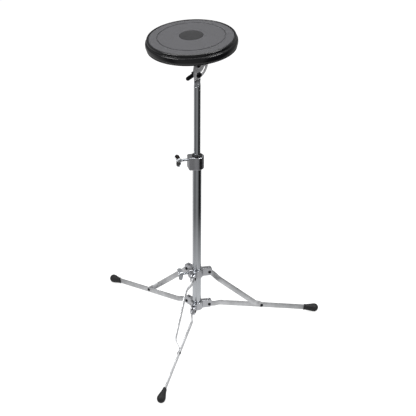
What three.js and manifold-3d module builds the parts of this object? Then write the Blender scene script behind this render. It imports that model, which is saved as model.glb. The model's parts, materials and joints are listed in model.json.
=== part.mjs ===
// A round practice pad on a folding three-leg stand, in millimetres, +Z up.
// The stand's tube is built on the Z axis over a floor at z = 0, with the leg directions at
// 270, 30 and 150 degrees. At the end the whole model moves so that the bottom centre of its
// box is the origin.
import * as THREE from 'three';
import { mergeVertices } from 'three/addons/utils/BufferGeometryUtils.js';
import Module from 'manifold-3d';

const wasm = await Module();
wasm.setup();

// ---- Fits -------------------------------------------------------------------------------
const GAP = 0.3; // between pieces that touch or turn on each other
const PIN_CLEARANCE = 0.3; // on the radius, between a hole and its pin

// ---- Tubes ------------------------------------------------------------------------------
const UPPER_TUBE_R = 9.5;
const UPPER_TUBE_WALL = 1.2;
const UPPER_TUBE_LENGTH = 365;
const TUBE_OVERLAP = 116; // upper tube's end below the height clamp
const BUSHING_WALL = 1.1;
const MAIN_TUBE_WALL = 1.5;

// ---- Legs and struts --------------------------------------------------------------------
const LEG_AZIMUTHS = [270, 30, 150];
const LEG_SLOPE = 12; // degrees below level
const LEG_LENGTH = 352; // leg pivot to the end of the bar
const BRACE_ALONG_LEG = 172; // leg pivot to the rivet that joins the strut
const STRAP_WIDTH = 16;
const STRAP_THICKNESS = 3;
const LEG_OFFSET = 9; // the leg's run, beside the plane of its pivots
const STRUT_OFFSET = -12; // the strut's middle run
const JOGGLE_START = 18; // from the pivot, along the strap
const JOGGLE_END = 36;
const STRUT_FOOT_JOGGLE_START = 36; // from the brace rivet, up the strut
const STRUT_FOOT_JOGGLE_END = 13;
const RIVET_R = 3;
const RIVET_HEAD_RIM = 1.6; // head past the shank
const RIVET_HEAD = 2;

// ---- Feet -------------------------------------------------------------------------------
const FOOT_GRIP = 38; // strap inside the foot
const FOOT_END_WALL = 10; // rubber past the strap's end
const FOOT_END_R = 13;
const FOOT_MOUTH_WALL = 1.8;
const FOOT_FLAT = 0.8; // depth of the flat worn on the bulb's underside

// ---- Castings on the main tube ------------------------------------------------------------
const RING_WALL = 5.8;
const LUG_CHEEK = 4.7;
const LUG_PAST_PIVOT = 8;
const LUG_ROOT = 9.5; // ring to the slot's end
const STRAP_END_ROOM = 2; // slot's end to the strap's end
const HUB_HEIGHT = 25;
const HUB_PIVOT_ABOVE_BOTTOM = 9.5;
const COLLAR_HEIGHT = 26;
const COLLAR_PIVOT_ABOVE_BOTTOM = 11;
const COLLAR_PIVOT_Z = 198;
const SCREW_AZIMUTH = 210;
const SCREW_R = 4;
const BOSS_HEIGHT = 8.5; // boss past the ring
const BOSS_HALF_WIDTH = 10;
const CLAMP_BOTTOM = 546;
const CLAMP_HEIGHT = 38;
const CLAMP_WALL = 7.3;
const CLAMP_BOSS_HEIGHT = 7;
const CLAMP_SCREW_DROP = 10; // screw line below the clamp's top
const WING_HUB_WALL = 1.5; // wing screw's hub past its shank
const WING_REACH = 19;
const WING_R = 7; // round of each wing's end
const WING_TURN = 50; // degrees that the wings lean from upright
const CLAMP_SHANK_SHOWN = 19; // boss to the wings' hub
const COLLAR_SHANK_SHOWN = 14;

// ---- Tilter -----------------------------------------------------------------------------
const SWIVEL = 243; // direction the pad leans to
const TILT = 4.6; // degrees
const TILT_SLOT_R = 28; // tilt pivot to the clamp bolt
const TILT_BOLT_ABOVE_TUBE = 34;
const TILT_MORE = 6; // degrees the pad can lean further
const TILT_BACK = 62; // degrees it can lean back the other way
const STEM_THICKNESS = 4;
const STEM_WIDTH = 24;
const BRACKET_THICKNESS = 3;
const BRACKET_RIM = 7; // metal outside the slot
const CLAMP_BOLT_R = 3;
const BOLT_HEAD_R = 8;
const BOLT_HEAD = 5.5;
const TILT_NUT_R = 7;
const FLANGE_LENGTH = 84;
const FLANGE_WIDTH = 46;

// ---- Pad --------------------------------------------------------------------------------
const SURFACE_R = 115;
const RIM_WIDTH = 10;
const SURFACE_THICKNESS = 6;
const GROOVE_INSET = 23; // surface's edge to the groove
const GROOVE_WIDTH = 3;
const GROOVE_DEPTH = 1.6;
const SPOT_R = 32.5;
const SPOT_THICKNESS = 1.2;
const SPOT_PROUD = 0.2;
const FOAM_THICKNESS = 8;
const BASE_THICKNESS = 9;
const RIM_LIP = 6.1; // the rim's flange under the base
const RIM_LIP_WIDTH = 8;
const SURFACE_ABOVE_PIVOT = 88;
const PAD_OFFSET = 16.5; // pad's centre from the bracket's pivot, toward the lean
const SCREW_HEAD_R = 4;
const BASE_SCREW_R = 2;

// ---- Derived places -----------------------------------------------------------------------
const radians = THREE.MathUtils.degToRad;
const MAIN_BORE_R = UPPER_TUBE_R + BUSHING_WALL + 2 * GAP;
const UPPER_BORE_R = UPPER_TUBE_R - UPPER_TUBE_WALL;
const MAIN_TUBE_R = MAIN_BORE_R + MAIN_TUBE_WALL;
const RING_R = MAIN_TUBE_R + RING_WALL;
const LUG_SLOT_START = RING_R + LUG_ROOT;
const PIVOT_R = LUG_SLOT_START + STRAP_END_ROOM + STRAP_WIDTH / 2;
const BOSS_REACH = RING_R + BOSS_HEIGHT;
const CLAMP_R = MAIN_TUBE_R + CLAMP_WALL;
const CLAMP_BOSS_REACH = CLAMP_R + CLAMP_BOSS_HEIGHT;
const RIVET_HEAD_R = RIVET_R + RIVET_HEAD_RIM;
const FOOT_NECK = LEG_LENGTH - FOOT_GRIP;
const FOOT_END = LEG_LENGTH + FOOT_END_WALL;
const FOOT_NECK_R = STRAP_WIDTH / 2 + FOOT_MOUTH_WALL;
const FOOT_CENTRE = FOOT_END - FOOT_END_R;
const LEG_PIVOT_Z = FOOT_END_R - FOOT_FLAT + FOOT_CENTRE * Math.sin(radians(LEG_SLOPE));
const HUB_BOTTOM = LEG_PIVOT_Z - HUB_PIVOT_ABOVE_BOTTOM;
const COLLAR_BOTTOM = COLLAR_PIVOT_Z - COLLAR_PIVOT_ABOVE_BOTTOM;
const STRUT_END_OFFSET = LEG_OFFSET - STRAP_THICKNESS - GAP;
const BRACE_R = BRACE_ALONG_LEG * Math.cos(radians(LEG_SLOPE));
const BRACE_DROP = COLLAR_PIVOT_Z - LEG_PIVOT_Z + BRACE_ALONG_LEG * Math.sin(radians(LEG_SLOPE));
const STRUT_LENGTH = Math.hypot(BRACE_R, BRACE_DROP);
const STRUT_SLOPE = Math.atan2(BRACE_DROP, BRACE_R);
const STRAP_SLOT = STRAP_THICKNESS + 2 * GAP;
const LUG_WIDTH = STRAP_SLOT + 2 * LUG_CHEEK;
const CLAMP_TOP = CLAMP_BOTTOM + CLAMP_HEIGHT;
const CLAMP_SCREW_Z = CLAMP_TOP - CLAMP_SCREW_DROP;
const UPPER_TUBE_BOTTOM = CLAMP_BOTTOM - TUBE_OVERLAP;
const UPPER_TUBE_TOP = UPPER_TUBE_BOTTOM + UPPER_TUBE_LENGTH;
const TILT_BOLT_Z = UPPER_TUBE_TOP + TILT_BOLT_ABOVE_TUBE;
const TILT_PIVOT_Z = TILT_BOLT_Z + TILT_SLOT_R;
const PAD_R = SURFACE_R + RIM_WIDTH;
const GROOVE_R = SURFACE_R - GROOVE_INSET;
const FOAM_TOP = -SURFACE_THICKNESS - GAP;
const BASE_TOP = FOAM_TOP - FOAM_THICKNESS - GAP;
const BASE_BOTTOM = BASE_TOP - BASE_THICKNESS;
const PAD_BOTTOM = BASE_BOTTOM - GAP - RIM_LIP;

// ---- Materials ------------------------------------------------------------------------------
const material = (color, roughness, metalness) =>
  new THREE.MeshStandardMaterial({ color, roughness, metalness });
const CHROME = material(0xc9cbce, 0.12, 1);
const PLATED = material(0x9c9da0, 0.32, 1);
const CAST = material(0xa8a9ad, 0.28, 1);
const BLACK_STEEL = material(0x17171a, 0.35, 0.6);
const BLACK_PLASTIC = material(0x0d0d0f, 0.18, 0);
const RUBBER = material(0x161617, 0.75, 0);
const GREY_RUBBER = material(0x6b6b6e, 0.85, 0);
const DARK_RUBBER = material(0x4a4a4d, 0.8, 0);
const FOAM = material(0x2b2b2e, 0.95, 0);
const FIBREBOARD = material(0x8a6a48, 0.8, 0);
const NYLON = material(0x1d1d20, 0.5, 0);
const BRASS = material(0xb08d4a, 0.35, 1);

// ---- Solids -----------------------------------------------------------------------------------
// A three.js geometry as a closed solid, turned the right way out if its faces point in.
function solidOf(source) {
  const bare = source.clone();
  bare.deleteAttribute('normal');
  bare.deleteAttribute('uv');
  const merged = mergeVertices(bare, 1e-4);
  const points = merged.getAttribute('position').array;
  const corner = (i) => new THREE.Vector3().fromArray(points, 3 * i);
  const faces = [];
  let volume = 0;
  for (let i = 0; i < merged.index.count; i += 3) {
    const [a, b, c] = [0, 1, 2].map((k) => merged.index.getX(i + k));
    if (a === b || b === c || c === a) continue;
    faces.push(a, b, c);
    volume += corner(a).dot(corner(b).cross(corner(c)));
  }
  if (volume < 0) faces.reverse();
  return new wasm.Manifold(
    new wasm.Mesh({
      numProp: 3,
      vertProperties: Float32Array.from(points),
      triVerts: Uint32Array.from(faces),
    }),
  );
}

function geometryOf(solid) {
  const mesh = solid.getMesh();
  const geometry = new THREE.BufferGeometry();
  geometry.setAttribute('position', new THREE.BufferAttribute(mesh.vertProperties.slice(), 3));
  geometry.setIndex(new THREE.BufferAttribute(mesh.triVerts.slice(), 1));
  geometry.computeVertexNormals();
  return geometry;
}

const joined = (solids) => solids.reduce((whole, next) => whole.add(next));
const cut = (solid, tools) => tools.reduce((left, tool) => left.subtract(tool), solid);

// A round bar along the x, y or z axis, from one end to the other.
function bar(axis, radius, from, to, segments = 20) {
  const geometry = new THREE.CylinderGeometry(radius, radius, to - from, segments);
  geometry.translate(0, (from + to) / 2, 0);
  if (axis === 'x') geometry.rotateZ(-Math.PI / 2);
  if (axis === 'z') geometry.rotateX(Math.PI / 2);
  return solidOf(geometry);
}

function box(x0, x1, y0, y1, z0, z1) {
  const geometry = new THREE.BoxGeometry(x1 - x0, y1 - y0, z1 - z0);
  geometry.translate((x0 + x1) / 2, (y0 + y1) / 2, (z0 + z1) / 2);
  return solidOf(geometry);
}

// A turned solid about Z from [radius, height] points.
function turned(profile, segments) {
  const points = profile.map(([radius, height]) => new THREE.Vector2(radius, height));
  const geometry = new THREE.LatheGeometry(points, segments);
  geometry.rotateX(Math.PI / 2);
  return solidOf(geometry);
}

function ring(outer, inner, bottom, top, segments = 32) {
  const profile = [[inner, bottom], [outer, bottom], [outer, top], [inner, top], [inner, bottom]];
  return turned(profile, segments);
}

// A flat plate whose outline lies in the x-z plane, between two y values.
function uprightPlate(shape, y0, y1, curveSegments = 8) {
  const options = { depth: y1 - y0, bevelEnabled: false, curveSegments };
  const geometry = new THREE.ExtrudeGeometry(shape, options);
  geometry.rotateX(Math.PI / 2);
  geometry.translate(0, y1, 0);
  return solidOf(geometry);
}

// A flat plate whose outline lies in the x-y plane, between two heights.
function levelPlate(shape, z0, z1, curveSegments = 8) {
  const options = { depth: z1 - z0, bevelEnabled: false, curveSegments };
  const geometry = new THREE.ExtrudeGeometry(shape, options);
  geometry.translate(0, 0, z0);
  return solidOf(geometry);
}

// The outline around two equal circles, as a slot has.
function slotShape(x0, y0, x1, y1, radius) {
  const along = Math.atan2(y1 - y0, x1 - x0);
  const shape = new THREE.Shape();
  shape.absarc(x1, y1, radius, along - Math.PI / 2, along + Math.PI / 2, false);
  shape.absarc(x0, y0, radius, along + Math.PI / 2, along + 1.5 * Math.PI, false);
  shape.closePath();
  return shape;
}

// A rectangle with each corner rounded.
function roundedRectangle(x0, x1, y0, y1, radius) {
  const shape = new THREE.Shape();
  shape.absarc(x1 - radius, y1 - radius, radius, 0, Math.PI / 2, false);
  shape.absarc(x0 + radius, y1 - radius, radius, Math.PI / 2, Math.PI, false);
  shape.absarc(x0 + radius, y0 + radius, radius, Math.PI, 1.5 * Math.PI, false);
  shape.absarc(x1 - radius, y0 + radius, radius, 1.5 * Math.PI, 2 * Math.PI, false);
  shape.closePath();
  return shape;
}

const turnedAboutZ = (solid, degrees) => solid.rotate([0, 0, degrees]);
const turnedAboutX = (solid, degrees) => solid.rotate([degrees, 0, 0]);
const lifted = (solid, z) => solid.translate([0, 0, z]);

function addPiece(parent, name, solid, look) {
  const mesh = new THREE.Mesh(geometryOf(solid), look);
  mesh.name = name;
  parent.add(mesh);
  return mesh;
}

function addGroup(parent, x = 0, y = 0, z = 0) {
  const group = new THREE.Group();
  group.position.set(x, y, z);
  parent.add(group);
  return group;
}

// ---- Flat straps ----------------------------------------------------------------------------
// The plan outline of a bent strap: its centre line moved half a thickness to each side, with
// mitred corners.
function bentOutline(path, thickness) {
  const side = (sign) =>
    path.map(([x, y], i) => {
      const before = path[Math.max(i - 1, 0)];
      const after = path[Math.min(i + 1, path.length - 1)];
      const into = new THREE.Vector2(x - before[0], y - before[1]).normalize();
      const out = new THREE.Vector2(after[0] - x, after[1] - y).normalize();
      if (i === 0) into.copy(out);
      if (i === path.length - 1) out.copy(into);
      const normal = new THREE.Vector2(-into.y - out.y, into.x + out.x).normalize();
      const reach = (sign * thickness) / 2 / normal.dot(new THREE.Vector2(-into.y, into.x));
      return new THREE.Vector2(x + normal.x * reach, y + normal.y * reach);
    });
  return new THREE.Shape([...side(-1), ...side(1).reverse()]);
}

function strap(path, holes) {
  const half = STRAP_WIDTH / 2;
  const first = path[0][0];
  const last = path[path.length - 1][0];
  const bent = levelPlate(bentOutline(path, STRAP_THICKNESS), -half, half);
  const reach = 2 * Math.abs(STRUT_OFFSET) + STRAP_THICKNESS;
  const side = uprightPlate(slotShape(first + half, 0, last - half, 0, half), -reach, reach, 6);
  const drills = holes.map((x) =>
    bar('y', RIVET_R + PIN_CLEARANCE, -reach, reach, 12).translate([x, 0, 0]),
  );
  return cut(bent.intersect(side), drills);
}

// A rivet along y with a head at each end that is given.
function rivet(from, to, headFrom, headTo) {
  const parts = [bar('y', RIVET_R, from, to, 12)];
  if (headFrom) parts.push(bar('y', RIVET_HEAD_R, from, from + RIVET_HEAD, 12));
  if (headTo) parts.push(bar('y', RIVET_HEAD_R, to - RIVET_HEAD, to, 12));
  return joined(parts);
}

// ---- Castings -------------------------------------------------------------------------------
// A ring with three slotted lugs for the straps. Its bottom is at z = 0.
function lugCasting(height, pivotAboveBottom) {
  const lugEnd = PIVOT_R + LUG_PAST_PIVOT;
  const lugSide = roundedRectangle(0, lugEnd, 0, height, 5);
  const lug = uprightPlate(lugSide, -LUG_WIDTH / 2, LUG_WIDTH / 2, 3);
  const slot = box(LUG_SLOT_START, lugEnd + 1, -STRAP_SLOT / 2, STRAP_SLOT / 2, -1, height + 1);
  const hole = bar('y', RIVET_R + PIN_CLEARANCE, -LUG_WIDTH, LUG_WIDTH, 12);
  const pinHole = hole.translate([PIVOT_R, 0, pivotAboveBottom]);
  const lugs = LEG_AZIMUTHS.map((azimuth) => turnedAboutZ(lug, azimuth));
  const cuts = LEG_AZIMUTHS.flatMap((azimuth) => [
    turnedAboutZ(slot, azimuth),
    turnedAboutZ(pinHole, azimuth),
  ]);
  const body = joined([bar('z', RING_R, 0, height, 24), ...lugs]);
  return cut(body, [...cuts, bar('z', MAIN_TUBE_R + GAP, -1, height + 1, 24)]);
}

function screwBoss(reach, halfWidth, bottom, top) {
  const block = levelPlate(roundedRectangle(-4, reach, -halfWidth, halfWidth, 3.5), bottom, top, 4);
  return turnedAboutZ(block, SCREW_AZIMUTH);
}

function radialHole(radius, from, to, z) {
  return lifted(turnedAboutZ(bar('x', radius, from, to, 16), SCREW_AZIMUTH), z);
}

// The hub, collar or nut end of a wing fastener: a boss along x with two flat wings.
function wings(at, length, hubR, reach, sweep) {
  const blade = (sign) =>
    uprightPlate(
      slotShape(at + WING_R, sign * 4, at + WING_R + sweep, sign * (reach - WING_R), WING_R),
      -1.7,
      1.7,
      6,
    );
  const hub = bar('x', hubR, at, at + length, 16);
  return turnedAboutX(joined([hub, blade(1), blade(-1)]), WING_TURN);
}

function wingScrew(tip, at) {
  const shank = bar('x', SCREW_R, tip, at + 1, 16);
  return joined([shank, wings(at, 11, SCREW_R + WING_HUB_WALL, WING_REACH, 3)]);
}

// ---- Base: tube, hub, height clamp --------------------------------------------------------------
const model = new THREE.Group();
const stand = addGroup(model);

function addBase() {
  const tubeTop = CLAMP_TOP - 2;
  const clampHole = radialHole(SCREW_R + GAP, UPPER_TUBE_R, MAIN_TUBE_R + 1, CLAMP_SCREW_Z);
  const tube = cut(ring(MAIN_TUBE_R, MAIN_BORE_R, HUB_BOTTOM, tubeTop, 32), [clampHole]);
  addPiece(stand, 'main_tube', tube, CHROME);

  const hubScrewZ = HUB_HEIGHT / 2;
  const hub = cut(lugCasting(HUB_HEIGHT, HUB_PIVOT_ABOVE_BOTTOM), [
    radialHole(3 + GAP, MAIN_BORE_R, RING_R + 1, hubScrewZ),
  ]);
  addPiece(stand, 'lower_hub', lifted(hub, HUB_BOTTOM), CAST);
  const grub = radialHole(3, MAIN_TUBE_R + 2 * GAP, RING_R + 0.6, hubScrewZ);
  addPiece(stand, 'hub_screw', lifted(grub, HUB_BOTTOM), BLACK_STEEL);

  const plug = joined([
    bar('z', MAIN_BORE_R - GAP, HUB_BOTTOM - GAP - 1, HUB_BOTTOM + 12, 28),
    bar('z', MAIN_TUBE_R, HUB_BOTTOM - GAP - 3, HUB_BOTTOM - GAP, 28),
  ]);
  addPiece(stand, 'tube_end_plug', plug, RUBBER);

  const clampBody = joined([
    bar('z', CLAMP_R, CLAMP_BOTTOM, CLAMP_TOP, 28),
    screwBoss(CLAMP_BOSS_REACH, CLAMP_R - 3, CLAMP_BOTTOM, CLAMP_TOP),
  ]);
  const clamp = cut(clampBody, [
    bar('z', MAIN_TUBE_R + GAP, CLAMP_BOTTOM - 1, CLAMP_TOP + 1, 32),
    radialHole(SCREW_R + GAP, MAIN_BORE_R, CLAMP_BOSS_REACH + 1, CLAMP_SCREW_Z),
  ]);
  addPiece(stand, 'height_clamp', clamp, CAST);

  const bushing = joined([
    ring(MAIN_BORE_R - GAP, UPPER_TUBE_R + GAP, CLAMP_BOTTOM, CLAMP_TOP + 1, 28),
    ring(MAIN_TUBE_R + 1.5, UPPER_TUBE_R + GAP, CLAMP_TOP + GAP, CLAMP_TOP + 4, 28),
  ]);
  const shoeHole = radialHole(SCREW_R + GAP, UPPER_TUBE_R - 2, MAIN_TUBE_R, CLAMP_SCREW_Z);
  addPiece(stand, 'clamp_bushing', cut(bushing, [shoeHole]), NYLON);
  const shoe = radialHole(SCREW_R - 0.2, UPPER_TUBE_R + GAP, UPPER_TUBE_R + 1.3, CLAMP_SCREW_Z);
  addPiece(stand, 'clamp_shoe', shoe, BRASS);

  const wingAt = CLAMP_BOSS_REACH + CLAMP_SHANK_SHOWN;
  const screw = turnedAboutZ(wingScrew(UPPER_TUBE_R + 1.3 + GAP, wingAt), SCREW_AZIMUTH);
  addPiece(stand, 'height_wing_screw', lifted(screw, CLAMP_SCREW_Z), CHROME);
}

// ---- Sliding collar -------------------------------------------------------------------------------
function addCollar() {
  const collar = addGroup(stand, 0, 0, COLLAR_BOTTOM);
  const screwZ = COLLAR_HEIGHT / 2;
  const shoeFrom = MAIN_TUBE_R + 2 * GAP;
  const shoeTo = shoeFrom + 1.4;
  const bore = bar('z', MAIN_TUBE_R + GAP, -1, COLLAR_HEIGHT + 1, 24);
  const body = cut(
    lugCasting(COLLAR_HEIGHT, COLLAR_PIVOT_ABOVE_BOTTOM).add(
      screwBoss(BOSS_REACH, BOSS_HALF_WIDTH, 0, COLLAR_HEIGHT),
    ),
    [bore, radialHole(SCREW_R + GAP, MAIN_BORE_R, BOSS_REACH + 1, screwZ)],
  );
  addPiece(collar, 'leg_collar', body, CAST);
  addPiece(collar, 'collar_shoe', radialHole(SCREW_R - 0.2, shoeFrom, shoeTo, screwZ), BRASS);
  const wingAt = BOSS_REACH + COLLAR_SHANK_SHOWN;
  const screw = turnedAboutZ(wingScrew(shoeTo + GAP, wingAt), SCREW_AZIMUTH);
  addPiece(collar, 'collar_wing_screw', lifted(screw, screwZ), CHROME);
}

// ---- Legs -------------------------------------------------------------------------------------------
// A foot is a bulb that narrows to a mouth around the strap's end. Across the strap it is slimmer
// at the mouth than at the tip.
function footSolid() {
  const profile = [
    [0, FOOT_NECK],
    [FOOT_NECK_R, FOOT_NECK],
    [FOOT_NECK_R + 0.4, FOOT_NECK + 4],
    [FOOT_END_R - 1.2, FOOT_CENTRE - 12],
    [FOOT_END_R, FOOT_CENTRE],
  ];
  const steps = 5;
  for (let i = 1; i <= steps; i += 1) {
    const angle = (i / steps) * (Math.PI / 2);
    const radius = i === steps ? 0 : FOOT_END_R * Math.cos(angle);
    profile.push([radius, FOOT_CENTRE + FOOT_END_R * Math.sin(angle)]);
  }
  const points = profile.map(([radius, along]) => new THREE.Vector2(radius, along));
  const geometry = new THREE.LatheGeometry(points, 16);
  geometry.rotateZ(-Math.PI / 2);
  const position = geometry.getAttribute('position');
  for (let i = 0; i < position.count; i += 1) {
    const along = THREE.MathUtils.clamp((position.getX(i) - FOOT_NECK) / 30, 0, 1);
    position.setZ(i, position.getZ(i) * THREE.MathUtils.lerp(0.56, 0.94, along));
  }
  geometry.rotateX(Math.PI / 2);
  return solidOf(geometry).translate([0, LEG_OFFSET, 0]);
}

function addLeg(number, azimuth) {
  const half = STRAP_WIDTH / 2;
  const spoke = addGroup(stand);
  spoke.rotation.z = radians(azimuth);

  const leg = addGroup(spoke, PIVOT_R, 0, LEG_PIVOT_Z);
  leg.rotation.y = radians(LEG_SLOPE);
  const legPath = [[-half, 0], [JOGGLE_START, 0], [JOGGLE_END, LEG_OFFSET], [LEG_LENGTH, LEG_OFFSET]];
  addPiece(leg, `leg_bar_${number}`, strap(legPath, [0, BRACE_ALONG_LEG]), PLATED);

  const mouth = box(
    FOOT_NECK - 1,
    LEG_LENGTH + GAP,
    LEG_OFFSET - STRAP_THICKNESS / 2 - GAP,
    LEG_OFFSET + STRAP_THICKNESS / 2 + GAP,
    -half - GAP,
    half + GAP,
  );
  const floor = box(-900, 900, -200, 200, -200, 0)
    .translate([0, 0, -LEG_PIVOT_Z])
    .rotate([0, -LEG_SLOPE, 0]);
  addPiece(leg, `rubber_foot_${number}`, cut(footSolid(), [mouth, floor]), RUBBER);

  const legFace = LEG_OFFSET - STRAP_THICKNESS / 2;
  const legBack = LEG_OFFSET + STRAP_THICKNESS / 2;
  const legHalfRivet = rivet(legFace, legBack + GAP + RIVET_HEAD, false, true);
  const placedLegRivet = legHalfRivet.translate([BRACE_ALONG_LEG, 0, 0]);
  addPiece(leg, `leg_brace_rivet_${number}`, placedLegRivet, BLACK_STEEL);

  const cheek = LUG_WIDTH / 2 + GAP + RIVET_HEAD;
  const pivotRivet = rivet(-cheek, cheek, true, true);
  addPiece(spoke, `leg_pivot_rivet_${number}`, pivotRivet.translate([PIVOT_R, 0, LEG_PIVOT_Z]), BLACK_STEEL);
  const topRivet = pivotRivet.translate([PIVOT_R, 0, COLLAR_PIVOT_Z]);
  addPiece(spoke, `strut_top_rivet_${number}`, topRivet, BLACK_STEEL);

  const strut = addGroup(spoke, PIVOT_R, 0, COLLAR_PIVOT_Z);
  strut.rotation.y = STRUT_SLOPE;
  const strutPath = [
    [-half, 0],
    [JOGGLE_START, 0],
    [JOGGLE_END, STRUT_OFFSET],
    [STRUT_LENGTH - STRUT_FOOT_JOGGLE_START, STRUT_OFFSET],
    [STRUT_LENGTH - STRUT_FOOT_JOGGLE_END, STRUT_END_OFFSET],
    [STRUT_LENGTH + half, STRUT_END_OFFSET],
  ];
  addPiece(strut, `strut_bar_${number}`, strap(strutPath, [0, STRUT_LENGTH]), PLATED);
  const strutFace = STRUT_END_OFFSET + STRAP_THICKNESS / 2;
  const strutBack = STRUT_END_OFFSET - STRAP_THICKNESS / 2;
  const strutHalfRivet = rivet(strutBack - GAP - RIVET_HEAD, strutFace, true, false);
  const placedStrutRivet = strutHalfRivet.translate([STRUT_LENGTH, 0, 0]);
  addPiece(strut, `strut_brace_rivet_${number}`, placedStrutRivet, BLACK_STEEL);
}

// ---- Post: upper tube and tilter stem --------------------------------------------------------------
function addPost() {
  const post = addGroup(stand);
  post.rotation.z = radians(SWIVEL);
  const pinZ = UPPER_TUBE_TOP - 10;
  const pinR = 2;
  const tube = cut(ring(UPPER_TUBE_R, UPPER_BORE_R, UPPER_TUBE_BOTTOM, UPPER_TUBE_TOP, 28), [
    lifted(bar('y', pinR + GAP, -UPPER_TUBE_R - 1, UPPER_TUBE_R + 1, 14), pinZ),
  ]);
  addPiece(post, 'upper_tube', tube, CHROME);
  const guide = joined([
    ring(MAIN_BORE_R - GAP, 6, UPPER_TUBE_BOTTOM - 6, UPPER_TUBE_BOTTOM - GAP, 24),
    ring(UPPER_BORE_R - GAP, 6, UPPER_TUBE_BOTTOM - 1, UPPER_TUBE_BOTTOM + 14, 24),
  ]);
  addPiece(stand, 'tube_guide', guide, NYLON);

  const tailBottom = UPPER_TUBE_TOP - 20;
  const half = STEM_THICKNESS / 2;
  const bladeShape = new THREE.Shape();
  bladeShape.absarc(0, TILT_PIVOT_Z, STEM_WIDTH / 2, 0, Math.PI, false);
  bladeShape.lineTo(-STEM_WIDTH / 2, TILT_BOLT_Z - 8);
  bladeShape.lineTo(-UPPER_TUBE_R - 1.5, UPPER_TUBE_TOP + 10);
  bladeShape.lineTo(-UPPER_TUBE_R + 1.5, UPPER_TUBE_TOP + 1);
  bladeShape.lineTo(UPPER_TUBE_R - 1.5, UPPER_TUBE_TOP + 1);
  bladeShape.lineTo(UPPER_TUBE_R + 1.5, UPPER_TUBE_TOP + 10);
  bladeShape.lineTo(STEM_WIDTH / 2, TILT_BOLT_Z - 8);
  bladeShape.closePath();
  const neck = turned([[0, 0], [UPPER_TUBE_R, 0], [UPPER_TUBE_R, 4], [5, 20], [0, 20]], 24);
  const stem = cut(
    joined([
      uprightPlate(bladeShape, -half, half, 10),
      lifted(neck, UPPER_TUBE_TOP + GAP),
      bar('z', UPPER_BORE_R - GAP, tailBottom, UPPER_TUBE_TOP + 1, 28),
    ]),
    [
      lifted(bar('y', pinR + GAP, -UPPER_TUBE_R, UPPER_TUBE_R, 14), pinZ),
      lifted(bar('y', RIVET_R + 1 + PIN_CLEARANCE, -20, 20, 16), TILT_PIVOT_Z),
      lifted(bar('y', CLAMP_BOLT_R + PIN_CLEARANCE, -20, 20, 16), TILT_BOLT_Z),
    ],
  );
  addPiece(post, 'tilter_stem', stem, PLATED);
  addPiece(post, 'stem_pin', lifted(bar('y', pinR, -UPPER_TUBE_R - 0.3, UPPER_TUBE_R + 0.3, 14), pinZ), PLATED);

  const bracketFace = half + GAP + BRACKET_THICKNESS;
  const pivotPin = joined([
    bar('y', RIVET_R + 1, -half - GAP - 2.5, bracketFace + GAP + 2.5, 16),
    bar('y', 7, bracketFace + GAP, bracketFace + GAP + 2.5, 20),
    bar('y', 7, -half - GAP - 2.5, -half - GAP, 20),
  ]);
  addPiece(post, 'tilt_pivot_pin', lifted(pivotPin, TILT_PIVOT_Z), BLACK_STEEL);

  const nutFace = -half - 2 * GAP - 2;
  const headFrom = bracketFace + GAP;
  const head = new THREE.CylinderGeometry(BOLT_HEAD_R * 0.8, BOLT_HEAD_R, BOLT_HEAD, 6);
  head.translate(0, headFrom + BOLT_HEAD / 2, 0);
  const bolt = joined([solidOf(head), bar('y', CLAMP_BOLT_R, nutFace - 16, headFrom + 1, 16)]);
  addPiece(post, 'tilt_clamp_bolt', lifted(bolt, TILT_BOLT_Z), BLACK_STEEL);
  const washer = cut(bar('y', 8, -half - GAP - 2, -half - GAP, 24), [
    bar('y', CLAMP_BOLT_R + PIN_CLEARANCE, -20, 20, 16),
  ]);
  addPiece(post, 'tilt_washer', lifted(washer, TILT_BOLT_Z), PLATED);

  const nut = cut(wings(0, 10, TILT_NUT_R, 27, 8), [bar('x', CLAMP_BOLT_R + PIN_CLEARANCE, -1, 40, 16)]);
  const facing = turnedAboutZ(nut, -90).translate([0, nutFace, 0]);
  addPiece(post, 'tilt_wing_nut', lifted(facing, TILT_BOLT_Z), BLACK_STEEL);
  return post;
}

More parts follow.
